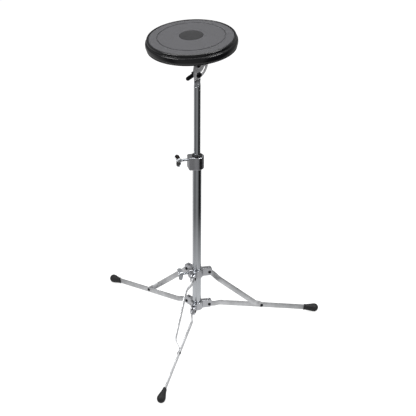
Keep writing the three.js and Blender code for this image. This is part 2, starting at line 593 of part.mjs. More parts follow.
// ---- Pad ----------------------------------------------------------------------------------------------
// Built on its tilt pivot: x runs toward the lean, z is the pad's own axis.
function addPad(post) {
  const pad = addGroup(post, 0, 0, TILT_PIVOT_Z);
  pad.rotation.y = radians(TILT);
  const disc = addGroup(pad, PAD_OFFSET, 0, SURFACE_ABOVE_PIVOT);

  const grooveOut = GROOVE_R + GROOVE_WIDTH / 2;
  const grooveIn = GROOVE_R - GROOVE_WIDTH / 2;
  const spotFloor = SPOT_PROUD - SPOT_THICKNESS - GAP;
  const surface = turned(
    [
      [0, -SURFACE_THICKNESS],
      [SURFACE_R, -SURFACE_THICKNESS],
      [SURFACE_R, -1],
      [SURFACE_R - 1, 0],
      [grooveOut, 0],
      [grooveOut, -GROOVE_DEPTH],
      [grooveIn, -GROOVE_DEPTH],
      [grooveIn, 0],
      [SPOT_R + GAP, 0],
      [SPOT_R + GAP, spotFloor],
      [0, spotFloor],
    ],
    48,
  );
  addPiece(disc, 'playing_surface', surface, GREY_RUBBER);
  const spot = bar('z', SPOT_R, spotFloor + GAP, SPOT_PROUD, 32);
  addPiece(disc, 'centre_spot', spot, DARK_RUBBER);

  const foam = bar('z', SURFACE_R - 1, FOAM_TOP - FOAM_THICKNESS, FOAM_TOP, 48);
  addPiece(disc, 'foam_layer', foam, FOAM);

  const inner = SURFACE_R + GAP;
  const beadR = PAD_R - 4;
  const shelf = BASE_BOTTOM - GAP;
  const lipR = inner - RIM_LIP_WIDTH;
  const rim = turned(
    [
      [inner, shelf],
      [inner, 0.8],
      [beadR - 1.6, 0.8],
      [beadR, -1.4],
      [beadR, -6.5],
      [PAD_R, -10],
      [PAD_R, PAD_BOTTOM + 9],
      [PAD_R - 3.4, PAD_BOTTOM],
      [lipR, PAD_BOTTOM],
      [lipR, shelf],
      [inner, shelf],
    ],
    48,
  );
  addPiece(disc, 'pad_rim', rim, BLACK_PLASTIC);

  // The base drops to the rim's underside inside the flange, where the bracket is screwed on.
  const screwX = FLANGE_LENGTH / 2 - 8;
  const screwY = FLANGE_WIDTH / 2 - 7;
  const screwPlaces = [[1, 1], [-1, 1], [-1, -1], [1, -1]].map(([i, j]) => [
    i * screwX - PAD_OFFSET,
    j * screwY,
  ]);
  const screwDepth = 10;
  const pilotHoles = screwPlaces.map(([x, y]) =>
    bar('z', BASE_SCREW_R + GAP, PAD_BOTTOM - 1, PAD_BOTTOM + screwDepth + 1, 12).translate([x, y, 0]),
  );
  const board = joined([
    bar('z', SURFACE_R - 0.5, BASE_BOTTOM, BASE_TOP, 48),
    bar('z', lipR - GAP, PAD_BOTTOM, BASE_BOTTOM + 1, 48),
  ]);
  addPiece(disc, 'pad_base', cut(board, pilotHoles), FIBREBOARD);

  const flangeTop = SURFACE_ABOVE_PIVOT + PAD_BOTTOM - GAP;
  const flangeBottom = flangeTop - BRACKET_THICKNESS;
  screwPlaces.forEach(([x, y], i) => {
    const screw = joined([
      bar('z', BASE_SCREW_R, PAD_BOTTOM - BRACKET_THICKNESS - 2, PAD_BOTTOM + screwDepth, 12),
      bar('z', SCREW_HEAD_R, PAD_BOTTOM - BRACKET_THICKNESS - 2 * GAP - 2.2, PAD_BOTTOM - BRACKET_THICKNESS - 2 * GAP, 16),
    ]);
    addPiece(disc, `bracket_screw_${i + 1}`, screw.translate([x, y, 0]), PLATED);
  });

  // The bracket's web hangs beside the stem. Its slot is an arc about the pivot.
  const webNear = STEM_THICKNESS / 2 + GAP;
  const webFar = webNear + BRACKET_THICKNESS;
  const slotHalf = CLAMP_BOLT_R + PIN_CLEARANCE;
  const outerR = TILT_SLOT_R + slotHalf + BRACKET_RIM;
  const fromDown = (degrees) => radians(-90 + degrees);
  const slotFrom = fromDown(TILT + TILT_MORE + 1);
  const slotTo = fromDown(TILT - TILT_BACK - 1);
  const edge = radians(17);
  const webShape = new THREE.Shape();
  webShape.moveTo(26, flangeTop - 1);
  webShape.lineTo(15, 6);
  webShape.absarc(0, 0, outerR, slotFrom + edge, slotTo - edge, true);
  webShape.lineTo(-28, flangeTop - 1);
  webShape.closePath();
  const slot = new THREE.Shape();
  slot.absarc(0, 0, TILT_SLOT_R + slotHalf, slotTo, slotFrom, false);
  const slotEnd = [TILT_SLOT_R * Math.cos(slotFrom), TILT_SLOT_R * Math.sin(slotFrom)];
  slot.absarc(slotEnd[0], slotEnd[1], slotHalf, slotFrom, slotFrom + Math.PI, false);
  slot.absarc(0, 0, TILT_SLOT_R - slotHalf, slotFrom, slotTo, true);
  const slotStart = [TILT_SLOT_R * Math.cos(slotTo), TILT_SLOT_R * Math.sin(slotTo)];
  slot.absarc(slotStart[0], slotStart[1], slotHalf, slotTo + Math.PI, slotTo + 2 * Math.PI, false);
  slot.closePath();
  const flange = levelPlate(
    roundedRectangle(-FLANGE_LENGTH / 2, FLANGE_LENGTH / 2, -FLANGE_WIDTH / 2, FLANGE_WIDTH / 2, 5),
    flangeBottom,
    flangeTop,
    4,
  );
  const bracket = cut(joined([uprightPlate(webShape, webNear, webFar, 10), flange]), [
    uprightPlate(slot, webNear - 1, webFar + 1, 6),
    bar('y', RIVET_R + 1 + PIN_CLEARANCE, -20, 20, 16),
    ...screwPlaces.map(([x, y]) =>
      bar('z', BASE_SCREW_R + GAP, flangeBottom - 1, flangeTop + 1, 12).translate([x + PAD_OFFSET, y, 0]),
    ),
  ]);
  addPiece(pad, 'pad_bracket', bracket, PLATED);
}

addBase();
addCollar();
LEG_AZIMUTHS.forEach((azimuth, i) => addLeg(i + 1, azimuth));
addPad(addPost());

// Move the model so that the bottom centre of its box is the origin.
model.updateMatrixWorld(true);
const bounds = new THREE.Box3().setFromObject(model, true);
const centre = bounds.getCenter(new THREE.Vector3());
model.position.set(-centre.x, -centre.y, -bounds.min.z);

export default model;
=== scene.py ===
"""A round practice pad on a folding three-leg stand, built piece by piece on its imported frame."""

import json
import math
from types import SimpleNamespace

import bmesh
import bpy
from mathutils import Matrix, Quaternion, Vector


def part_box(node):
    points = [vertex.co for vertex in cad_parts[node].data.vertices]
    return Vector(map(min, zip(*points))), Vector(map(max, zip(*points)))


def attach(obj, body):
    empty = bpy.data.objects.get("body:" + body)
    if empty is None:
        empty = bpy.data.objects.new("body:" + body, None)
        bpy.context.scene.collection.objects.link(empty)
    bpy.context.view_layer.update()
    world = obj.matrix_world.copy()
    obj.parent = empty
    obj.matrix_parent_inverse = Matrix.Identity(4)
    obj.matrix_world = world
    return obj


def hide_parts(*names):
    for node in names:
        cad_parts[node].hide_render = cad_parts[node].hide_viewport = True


bl_info = {
    "name": "Practice Pad and Stand",
    "version": (1, 0, 0),
    "blender": (4, 5, 0),
    "location": "View3D > Sidebar > Practice Pad",
    "description": "Builds a drum practice pad on its height-adjustable folding stand",
    "category": "Object",
}

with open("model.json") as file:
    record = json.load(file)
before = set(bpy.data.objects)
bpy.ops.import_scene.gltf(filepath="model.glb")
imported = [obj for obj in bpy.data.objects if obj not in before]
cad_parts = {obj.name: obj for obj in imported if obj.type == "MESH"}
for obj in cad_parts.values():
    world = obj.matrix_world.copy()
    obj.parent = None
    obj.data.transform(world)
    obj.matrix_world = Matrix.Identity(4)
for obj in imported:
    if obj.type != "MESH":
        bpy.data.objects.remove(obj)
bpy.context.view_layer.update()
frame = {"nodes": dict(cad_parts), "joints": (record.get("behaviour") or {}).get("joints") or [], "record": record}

MM = 0.001
UP = Vector((0, 0, 1))
JOINTS = {joint["name"]: joint for joint in frame["joints"]}
LEGS = (1, 2, 3)
SMOOTH_ANGLE = math.radians(38)
# Steps in a full turn of a casting, and of a screw or rivet.
ROUND = 96
SMALL_ROUND = 40


# ---- Sizes and colours a user would change -------------------------------------------------------


def length(name, description, millimetres):
    """A length that a user would change."""
    return bpy.props.FloatProperty(
        name=name,
        description=description,
        default=millimetres * MM,
        unit="LENGTH",
        subtype="DISTANCE",
    )


def angle(name, description, degrees):
    """An angle that a user would change."""
    return bpy.props.FloatProperty(
        name=name, description=description, default=math.radians(degrees), subtype="ANGLE"
    )


def colour(name, description, hex_colour):
    """An sRGB colour that a user would change."""
    return bpy.props.FloatVectorProperty(
        name=name, description=description, default=channels_of(hex_colour), subtype="COLOR_GAMMA"
    )


def channels_of(hex_colour):
    """The three channels of an sRGB hex colour, from 0 to 1."""
    return tuple(int(hex_colour[i : i + 2], 16) / 255 for i in (1, 3, 5))


def in_mm(group):
    """The lengths of a property group, in millimetres."""
    lengths = [p.identifier for p in group.bl_rna.properties if getattr(p, "unit", "") == "LENGTH"]
    return SimpleNamespace(**{key: getattr(group, key) / MM for key in lengths})


class PadSizes(bpy.types.PropertyGroup):
    """Sizes of the pad."""

    surface_radius: length("Playing surface radius", "Radius of the rubber sheet", 115.0)
    surface_thickness: length("Rubber thickness", "Thickness of the rubber sheet", 6.0)
    crown: length("Crown", "How far the middle stands above the edge", 5.0)
    groove_radius: length("Groove radius", "Radius of the ring groove", 92.0)
    spot_radius: length("Centre spot radius", "Radius of the darker disc", 32.5)
    rim_width: length("Rim width", "Rim beyond the rubber", 10.0)
    rim_depth: length("Rim depth", "Playing face to the rim's underside", 30.0)


class StandSizes(bpy.types.PropertyGroup):
    """Sizes of the stand."""

    strap_width: length("Strap width", "Height of the leg and strut straps", 16.0)
    strap_thickness: length("Strap thickness", "Thickness of the straps", 3.0)
    leg_length: length("Leg length", "Leg pivot to the strap's end", 352.0)
    leg_offset: length("Leg offset", "Leg's run beside its pivots' plane", 9.0)
    strut_offset: length("Strut offset", "Strut's middle run beside that plane", -12.0)
    rivet_radius: length("Rivet radius", "Shank radius of the rivets", 3.0)
    screw_radius: length("Wing screw radius", "Shank radius of the wing screws", 4.0)
    wing_turn: angle("Wing turn", "Lean of the wings from upright", 50.0)


class Finishes(bpy.types.PropertyGroup):
    """Colours of the finishes."""

    chrome: colour("Chrome", "Chrome plate on the tubes", "#c9ccd0")
    strap: colour("Straps", "Zinc plate on the straps", "#dfe0e2")
    casting: colour("Castings", "Plated die castings", "#cbccd0")
    tilter: colour("Tilter", "Blasted plate of the tilter", "#eeeef0")
    rim: colour("Rim", "Moulded rim", "#0c0c0e")
    surface: colour("Playing surface", "Rubber sheet", "#535356")
    spot: colour("Centre spot", "Darker disc", "#252527")
    foot: colour("Feet", "Rubber feet", "#141416")


class StageSettings(bpy.types.PropertyGroup):
    """The camera."""

    azimuth: angle("Azimuth", "Camera direction from the front", 15.7)
    elevation: angle("Elevation", "Camera height above level", 28.2)
    distance: length("Distance", "Camera distance", 3448.0)
    lens: bpy.props.FloatProperty(
        name="Lens", description="Focal length", default=103.3, unit="CAMERA"
    )
    aim_height: length("Aim height", "Height that the camera looks at", 416.2)
    aim_right: length("Aim right", "How far right of the tube it looks", 32.0)
    roll: angle("Roll", "Camera roll", 0.43)


# ---- Nodes and colours ---------------------------------------------------------------------------


def linear(srgb):
    """An sRGB colour, in hex or as its channels, as a linear RGBA tuple."""
    channels = channels_of(srgb) if isinstance(srgb, str) else srgb
    curve = [c / 12.92 if c <= 0.04045 else ((c + 0.055) / 1.055) ** 2.4 for c in channels]
    return (*curve, 1.0)


def add_node(tree, kind, settings=None, links=None):
    """Adds a node, sets its properties and unlinked inputs, and links its other inputs."""
    node = tree.nodes.new(kind)
    for key, value in (settings or {}).items():
        if isinstance(key, str) and hasattr(node, key):
            setattr(node, key, value)
        else:
            node.inputs[key].default_value = value
    for key, output in (links or {}).items():
        tree.links.new(output, node.inputs[key])
    return node


def set_ramp(node, stops):
    """Gives a colour ramp its stops, as (position, grey) pairs."""
    elements = node.color_ramp.elements
    while len(elements) < len(stops):
        elements.new(0.5)
    for element, (position, grey) in zip(elements, stops):
        element.position = position
        element.color = (grey, grey, grey, 1)


def start_material(name):
    """An empty node tree with its output, and the object coordinates in millimetres."""
    material = bpy.data.materials.new(name)
    material.use_nodes = True
    tree = material.node_tree
    tree.nodes.clear()
    place = add_node(tree, "ShaderNodeTexCoord")
    scaled = add_node(
        tree,
        "ShaderNodeMapping",
        {"Scale": (1 / MM, 1 / MM, 1 / MM)},
        {"Vector": place.outputs["Object"]},
    )
    return material, tree, scaled.outputs["Vector"]


def noise(tree, vector, size_mm, detail=4.0, roughness=0.55):
    """A noise whose features are about size_mm across."""
    settings = {"Scale": 1 / size_mm, "Detail": detail, "Roughness": roughness}
    return add_node(tree, "ShaderNodeTexNoise", settings, {"Vector": vector}).outputs["Fac"]


def between(tree, value, low, high, from_low=0.3, from_high=0.7):
    """Maps a noise value to a range."""
    settings = {"From Min": from_low, "From Max": from_high, "To Min": low, "To Max": high}
    return add_node(tree, "ShaderNodeMapRange", settings, {"Value": value}).outputs["Result"]


def tinted(tree, value, dark, light):
    """A colour between two sRGB colours."""
    settings = {"data_type": "RGBA"}
    node = add_node(tree, "ShaderNodeMix", settings, {0: value})
    node.inputs[6].default_value = linear(dark)
    node.inputs[7].default_value = linear(light)
    return node.outputs[2]


def bump(tree, height, depth_mm, strength):
    """A bump of a real depth."""
    settings = {"Distance": depth_mm * MM, "Strength": strength}
    return add_node(tree, "ShaderNodeBump", settings, {"Height": height}).outputs["Normal"]


def surface(tree, settings, links):
    """The shader and the output that end every material."""
    shader = add_node(tree, "ShaderNodeBsdfPrincipled", settings, links)
    add_node(tree, "ShaderNodeOutputMaterial", {}, {"Surface": shader.outputs["BSDF"]})


def shaded(dark_by, srgb):
    """The channels of an sRGB colour made darker by a share."""
    return tuple(channel * (1 - dark_by) for channel in srgb)


# ---- Materials -----------------------------------------------------------------------------------


def chrome_plated_tube(colour):
    """Drawn steel tube, polished and nickel-chrome plated: mirror bright, with faint hand smudges
    and hair-fine polishing lines round the tube."""
    material, tree, place = start_material("chrome_plated_drawn_tube")
    smudge = noise(tree, place, 24.0, 5.0)
    lines = add_node(
        tree, "ShaderNodeMapping", {"Scale": (0.06, 0.06, 1.6)}, {"Vector": place}
    ).outputs["Vector"]
    polishing = noise(tree, lines, 1.0, 3.0)
    surface(
        tree,
        {"Metallic": 1.0},
        {
            "Base Color": tinted(tree, smudge, shaded(0.05, colour), colour),
            "Roughness": between(tree, smudge, 0.07, 0.14),
            "Normal": bump(tree, polishing, 0.01, 0.12),
        },
    )
    return material


def zinc_plated_strip(colour):
    """Rolled strip steel, blanked, bent and zinc plated: satin grey with rolling lines and a
    cloudy plate."""
    material, tree, place = start_material("zinc_plated_strip_steel")
    cloud = noise(tree, place, 9.0, 6.0, 0.6)
    grain = noise(tree, place, 1.1, 3.0)
    patch = noise(tree, place, 45.0, 2.0)
    both = add_node(
        tree, "ShaderNodeMath", {"operation": "MULTIPLY_ADD", 1: 0.55}, {0: cloud, 2: patch}
    ).outputs[0]
    surface(
        tree,
        {"Metallic": 1.0},
        {
            "Base Color": tinted(
                tree, between(tree, both, 0.0, 1.0, 0.55, 1.0), shaded(0.16, colour), colour
            ),
            "Roughness": between(tree, cloud, 0.34, 0.5),
            "Normal": bump(tree, grain, 0.03, 0.25),
        },
    )
    return material


def blasted_zinc_plate(colour):
    """Pressed plate, bead blasted before it is zinc plated: pale and even with a soft, wide gleam
    and a fine tooth, cloudier than the rolled straps."""
    material, tree, place = start_material("bead_blasted_zinc_plate")
    cloud = noise(tree, place, 6.0, 5.0, 0.6)
    tooth = noise(tree, place, 0.8, 2.0)
    surface(
        tree,
        {"Metallic": 0.7},
        {
            "Base Color": tinted(tree, cloud, shaded(0.14, colour), colour),
            "Roughness": between(tree, cloud, 0.5, 0.66),
            "Normal": bump(tree, tooth, 0.04, 0.3),
        },
    )
    return material


def plated_die_casting(colour):
    """Zinc die casting, tumbled and plated: softly bright, with the slight orange peel of the
    cast skin under the plate."""
    material, tree, place = start_material("plated_zinc_die_casting")
    peel = noise(tree, place, 2.4, 2.0)
    cloud = noise(tree, place, 11.0, 5.0)
    surface(
        tree,
        {"Metallic": 1.0},
        {
            "Base Color": tinted(tree, cloud, shaded(0.12, colour), colour),
            "Roughness": between(tree, cloud, 0.16, 0.3),
            "Normal": bump(tree, peel, 0.06, 0.35),
        },
    )
    return material


def black_oxide_steel():
    """Steel blackened in a hot salt bath and oiled: near black with a low metallic gleam, cloudy and uneven."""
    material, tree, place = start_material("black_oxide_steel")
    cloud = noise(tree, place, 3.0, 5.0)
    surface(
        tree,
        {"Metallic": 0.75},
        {
            "Base Color": tinted(tree, cloud, "#101012", "#26262a"),
            "Roughness": between(tree, cloud, 0.24, 0.42),
            "Normal": bump(tree, cloud, 0.02, 0.2),
        },
    )
    return material


def moulded_gloss_abs(colour):
    """Injection moulded ABS from a polished tool: deep gloss black, with the long low waves that
    moulded walls have and a few dull handling marks."""
    material, tree, place = start_material("moulded_gloss_abs")
    wave = noise(tree, place, 16.0, 1.0)
    marks = noise(tree, place, 14.0, 3.0)
    surface(
        tree,
        {"IOR": 1.53},
        {
            "Base Color": tinted(tree, marks, colour, "#151518"),
            "Roughness": between(tree, marks, 0.17, 0.23),
            "Normal": bump(tree, wave, 0.04, 0.05),
        },
    )
    return material


def gum_rubber_sheet(name, colour, pebble_mm):
    """Calendered natural rubber with a fine pebble rolled in: dry and matt, a little cloudy where
    sticks have rubbed it. The pebble is drawn coarser than the real 0.4 mm so that it shows."""
    material, tree, place = start_material(name)
    pebble = add_node(
        tree, "ShaderNodeTexVoronoi", {"Scale": 1 / pebble_mm, "Randomness": 0.85}, {"Vector": place}
    ).outputs["Distance"]
    cloud = noise(tree, place, 30.0, 6.0, 0.62)
    dust = noise(tree, place, 2.2, 4.0)
    mixed = add_node(
        tree, "ShaderNodeMath", {"operation": "MULTIPLY_ADD", 1: 0.4}, {0: dust, 2: cloud}
    ).outputs[0]
    surface(
        tree,
        {"IOR": 1.52, "Specular IOR Level": 0.34, "Sheen Weight": 0.05},
        {
            "Base Color": tinted(
                tree, between(tree, mixed, 0.0, 1.0, 0.45, 0.95), shaded(0.1, colour), colour
            ),
            "Roughness": between(tree, cloud, 0.62, 0.8),
            "Normal": bump(tree, pebble, 0.12, 0.35),
        },
    )
    return material


def moulded_foot_rubber(colour):
    """Compression moulded rubber: matt black with a fine dusty tooth."""
    material, tree, place = start_material("moulded_foot_rubber")
    tooth = noise(tree, place, 0.9, 3.0)
    dust = noise(tree, place, 8.0, 5.0)
    surface(
        tree,
        {"IOR": 1.5},
        {
            "Base Color": tinted(tree, dust, shaded(0.2, colour), "#222224"),
            "Roughness": between(tree, dust, 0.5, 0.72),
            "Normal": bump(tree, tooth, 0.06, 0.4),
        },
    )
    return material


def open_cell_foam():
    """Cut polyurethane foam: dark and dull, pitted with cells about 1 mm across."""
    material, tree, place = start_material("open_cell_foam")
    cells = add_node(
        tree, "ShaderNodeTexVoronoi", {"Scale": 1.0}, {"Vector": place}
    ).outputs["Distance"]
    surface(
        tree,
        {},
        {
            "Base Color": tinted(tree, cells, "#151516", "#3a3a3d"),
            "Roughness": between(tree, cells, 0.85, 0.98),
            "Normal": bump(tree, cells, 0.5, 0.7),
        },
    )
    return material


def pressed_fibreboard():
    """Hard-pressed wood fibre, sawn and sanded: dark brown with short fibres and flecks."""
    material, tree, place = start_material("pressed_fibreboard")
    fibre_place = add_node(
        tree, "ShaderNodeMapping", {"Scale": (1.0, 0.3, 1.0)}, {"Vector": place}
    ).outputs["Vector"]
    fibre = noise(tree, fibre_place, 1.3, 6.0, 0.7)
    surface(
        tree,
        {},
        {
            "Base Color": tinted(tree, between(tree, fibre, 0.0, 1.0), "#3b322a", "#5c4f42"),
            "Roughness": between(tree, fibre, 0.7, 0.88),
            "Normal": bump(tree, fibre, 0.08, 0.4),
        },
    )
    return material


def moulded_nylon():
    """Moulded black nylon: satin, slightly waxy."""
    material, tree, place = start_material("moulded_black_nylon")
    skin = noise(tree, place, 1.5, 3.0)
    surface(
        tree,
        {"IOR": 1.53},
        {
            "Base Color": tinted(tree, skin, "#131315", "#1f1f22"),
            "Roughness": between(tree, skin, 0.38, 0.52),
            "Normal": bump(tree, skin, 0.03, 0.3),
        },
    )
    return material


def turned_brass():
    """Bar brass, turned: yellow metal with tool rings."""
    material, tree, place = start_material("turned_brass")
    rings = noise(tree, place, 0.8, 2.0)
    surface(
        tree,
        {"Metallic": 1.0},
        {
            "Base Color": tinted(tree, rings, "#a5803d", "#c39a52"),
            "Roughness": between(tree, rings, 0.25, 0.4),
            "Normal": bump(tree, rings, 0.02, 0.3),
        },
    )
    return material


def make_materials():
    """Every finish, by its short name."""
    finish = bpy.context.scene.pad_finishes
    return {
        "chrome": chrome_plated_tube(finish.chrome),
        "plated_steel": zinc_plated_strip(finish.strap),
        "blasted_steel": blasted_zinc_plate(finish.tilter),
        "cast_zinc": plated_die_casting(finish.casting),
        "black_steel": black_oxide_steel(),
        "black_plastic": moulded_gloss_abs(finish.rim),
        "grey_rubber": gum_rubber_sheet("calendered_grey_rubber", finish.surface, 0.9),
        "dark_rubber": gum_rubber_sheet("calendered_dark_rubber", finish.spot, 0.9),
        "foot_rubber": moulded_foot_rubber(finish.foot),
        "foam": open_cell_foam(),
        "fibreboard": pressed_fibreboard(),
        "nylon": moulded_nylon(),
        "brass": turned_brass(),
    }


MATERIALS = {}


# ---- Mesh tools ----------------------------------------------------------------------------------


def turned(bm, profile, steps=ROUND, place=None):
    """Spins (radius, height) points, in millimetres, about Z. The profile closes on itself or
    has both its ends on the axis."""
    part = bmesh.new()
    points = [part.verts.new((radius * MM, 0, height * MM)) for radius, height in profile]
    edges = [part.edges.new(pair) for pair in zip(points, points[1:])]
    on_axis = profile[0][0] == 0 and profile[-1][0] == 0
    if not on_axis:
        edges.append(part.edges.new((points[-1], points[0])))
    bmesh.ops.spin(
        part,
        geom=points + edges,
        cent=(0, 0, 0),
        axis=(0, 0, 1),
        angle=2 * math.pi,
        steps=steps,
        use_merge=True,
    )
    bmesh.ops.remove_doubles(part, verts=part.verts, dist=1e-7)
    bmesh.ops.recalc_face_normals(part, faces=part.faces)
    add_part(bm, part, place)


def add_part(bm, part, place=None):
    """Moves a finished part into place and adds it to the piece."""
    if place is not None:
        bmesh.ops.transform(part, matrix=place, verts=part.verts)
    mesh = bpy.data.meshes.new("part")
    part.to_mesh(mesh)
    part.free()
    bm.from_mesh(mesh)
    bpy.data.meshes.remove(mesh)


def arc(x, y, radius, start, end, steps):
    """Points on an arc, with the angles in degrees."""
    angles = [math.radians(start + (end - start) * i / steps) for i in range(steps + 1)]
    return [(x + radius * math.cos(a), y + radius * math.sin(a)) for a in angles]


def eased(points, parts=4):
    """A smooth curve through a profile's points, with each stretch cut into parts."""
    ends = [points[0], *points, points[-1]]
    curve = [points[0]]
    for before, start, end, after in zip(ends, ends[1:], ends[2:], ends[3:]):
        into = Vector(end) - Vector(before)
        out = Vector(after) - Vector(start)
        for i in range(1, parts + 1):
            t = i / parts
            curve.append(
                (2 * t**3 - 3 * t**2 + 1) * Vector(start)
                + (t**3 - 2 * t**2 + t) * 0.5 * into
                + (3 * t**2 - 2 * t**3) * Vector(end)
                + (t**3 - t**2) * 0.5 * out
            )
    return [tuple(point) for point in curve]


def rounded_outline(x0, x1, y0, y1, radius, steps=6):
    """A rectangle with round corners."""
    corners = (
        (x1 - radius, y1 - radius, 0),
        (x0 + radius, y1 - radius, 90),
        (x0 + radius, y0 + radius, 180),
        (x1 - radius, y0 + radius, 270),
    )
    return [p for x, y, start in corners for p in arc(x, y, radius, start, start + 90, steps)]


def capsule_outline(x0, y0, x1, y1, radius, steps=12):
    """The outline round two equal circles."""
    along = math.degrees(math.atan2(y1 - y0, x1 - x0))
    far = arc(x1, y1, radius, along - 90, along + 90, steps)
    return far + arc(x0, y0, radius, along + 90, along + 270, steps)


def plate(bm, outline, y0, y1, place=None, edge=0.5, hole=None):
    """A plate whose outline lies in the x-z plane, between two y values, with eased edges."""
    part = bmesh.new()
    loops = [outline] + ([hole] if hole else [])
    for loop in loops:
        points = [part.verts.new((x * MM, y0 * MM, z * MM)) for x, z in loop]
        for i, point in enumerate(points):
            part.edges.new((point, points[(i + 1) % len(points)]))
    if hole:
        bmesh.ops.triangle_fill(part, edges=part.edges, use_beauty=True, use_dissolve=False)
    else:
        bmesh.ops.contextual_create(part, geom=part.edges)
    grown = bmesh.ops.extrude_face_region(part, geom=part.faces[:], use_keep_orig=True)
    raised = [v for v in grown["geom"] if isinstance(v, bmesh.types.BMVert)]
    bmesh.ops.translate(part, verts=raised, vec=(0, (y1 - y0) * MM, 0))
    bmesh.ops.recalc_face_normals(part, faces=part.faces)
    if edge:
        rims = [e for e in part.edges if rim_edge(e)]
        bmesh.ops.bevel(
            part,
            geom=rims,
            offset=edge * MM,
            offset_type="OFFSET",
            affect="EDGES",
            segments=2 if edge < 1 else 6,
            profile=0.5,
            material=-1,
            clamp_overlap=True,
        )
    add_part(bm, part, place)


def rim_edge(edge):
    """True for an edge between a plate's face and its side."""
    if len(edge.link_faces) != 2:
        return False
    flats = [abs(face.normal.y) > 0.99 for face in edge.link_faces]
    return flats[0] != flats[1]


# Lays a plate's outline flat, with its thickness upward.
LAID_FLAT = Matrix.Rotation(math.radians(90), 4, "X")


def turn_to(direction, origin=(0, 0, 0), about=0.0):
    """A matrix that lays local +Z along a direction, with a turn about it in degrees."""
    turn = Vector(direction).to_track_quat("Z", "Y").to_matrix().to_4x4()
    return Matrix.Translation(Vector(origin)) @ turn @ Matrix.Rotation(math.radians(about), 4, "Z")


def axes_matrix(origin, x_axis, y_axis, z_axis):
    """A matrix with the given axes as its columns."""
    columns = Matrix((x_axis, y_axis, z_axis)).transposed().to_4x4()
    return Matrix.Translation(origin) @ columns


def piece(name, bm, place, material, body, replaced):
    """Puts a mesh in place and finishes it as a piece."""
    bmesh.ops.transform(bm, matrix=place, verts=bm.verts)
    mesh = bpy.data.meshes.new(name)
    bm.to_mesh(mesh)
    bm.free()
    return finish_piece(name, mesh, material, body, replaced)


def finish_piece(name, mesh, material, body, replaced):
    """Makes a mesh that is in place a smooth piece that rides on its body for its CAD nodes."""
    mesh.name = name
    mesh.shade_smooth()
    mesh.set_sharp_from_angle(angle=SMOOTH_ANGLE)
    obj = bpy.data.objects.new(name, mesh)
    bpy.context.collection.objects.link(obj)
    mesh.materials.append(MATERIALS[material])
    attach(obj, body)
    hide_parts(*replaced)
    return obj


def turned_piece(name, profile, steps, place, material, body, node):
    """A piece that is turned from one profile."""
    bm = bmesh.new()
    turned(bm, profile, steps)
    return piece(name, bm, place, material, body, [node])


def applied(bm, modifiers):
    """The mesh that a list of (type, settings) modifiers makes of a bmesh."""
    mesh = bpy.data.meshes.new("raw")
    bm.to_mesh(mesh)
    bm.free()
    obj = bpy.data.objects.new("raw", mesh)
    bpy.context.collection.objects.link(obj)
    for kind, settings in modifiers:
        modifier = obj.modifiers.new(kind.lower(), kind)
        for key, value in settings.items():
            setattr(modifier, key, value)
    graph = bpy.context.evaluated_depsgraph_get()
    result = bpy.data.meshes.new_from_object(obj.evaluated_get(graph))
    bpy.data.objects.remove(obj)
    bpy.data.meshes.remove(mesh)
    return result


def fused(bm, grain_mm, ease):
    """Overlapping parts as one skin with small fillets."""
    remesh = ("REMESH", {"mode": "VOXEL", "voxel_size": grain_mm * MM})
    return applied(bm, [remesh, ("SMOOTH", {"factor": 0.5, "iterations": ease})])


def cast(name, bm, place, material, body, replaced, grain_mm=0.6, ease=4):
    """Finishes overlapping parts as one casting or weldment."""
    skin = fused(bm, grain_mm, ease)
    skin.transform(place)
    obj = finish_piece(name, skin, material, body, replaced)
    skin.shade_smooth()
    return obj


# ---- Places from the frame -----------------------------------------------------------------------


def middle(node):
    """The middle of a CAD node's box."""
    low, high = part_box(node)
    return (low + high) / 2


def tube_axis():
    """The point on the ground under the tubes."""
    centre = middle("main_tube")
    return Vector((centre.x, centre.y, 0))


def joint_place(name):
    """The point that a joint turns or slides at."""
    return Vector(JOINTS[name]["pos_m"])


def spoke_matrix(joint, toward_t, end_node):
    """The frame of a strap: x runs from its pivot to a rivet's height along it, y across it."""
    pivot = joint_place(joint)
    across = Vector(JOINTS[joint]["axis"]).normalized() * toward_t
    outward = across.cross(UP)
    reach = middle(end_node) - pivot
    along = outward * reach.dot(outward) + Vector((0, 0, reach.z))
    length = along.length / MM
    along.normalize()
    return axes_matrix(pivot, along, across, along.cross(across)), length


def level_frame(joint):
    """A level frame at a strap's pivot: x outward, y along the rivet, z up."""
    pivot = joint_place(joint)
    outward = pivot - tube_axis()
    outward.z = 0
    outward.normalize()
    return pivot, outward, UP.cross(outward)


def screw_direction():
    """The direction that both wing screws point."""
    return Vector(JOINTS["height_screw_turn"]["axis"]).normalized()


def disc_matrix():
    """The pad's own frame: its origin is the middle of the playing face."""
    face = next(m for m in frame["record"]["mounts"] if m["name"] == "playing_face")
    normal = Vector(face["axis"]).normalized()
    across = Vector(JOINTS["pad_tilt"]["axis"]).normalized()
    forward = across.cross(normal).normalized()
    pivot = joint_place("pad_tilt")
    height = (Vector(face["pos_m"]) - pivot).dot(normal)
    offset = (middle("centre_spot") - pivot).dot(forward)
    origin = pivot + forward * offset + normal * height
    return axes_matrix(origin, forward, across, normal), offset / MM, height / MM


# ---- Pad -----------------------------------------------------------------------------------------


GROOVE_DEPTH = 1.8


def crown_at(radius, sizes):
    """Height of the crowned face at a radius, zero at the rubber's edge."""
    return sizes.crown * (1 - (radius / sizes.surface_radius) ** 2)


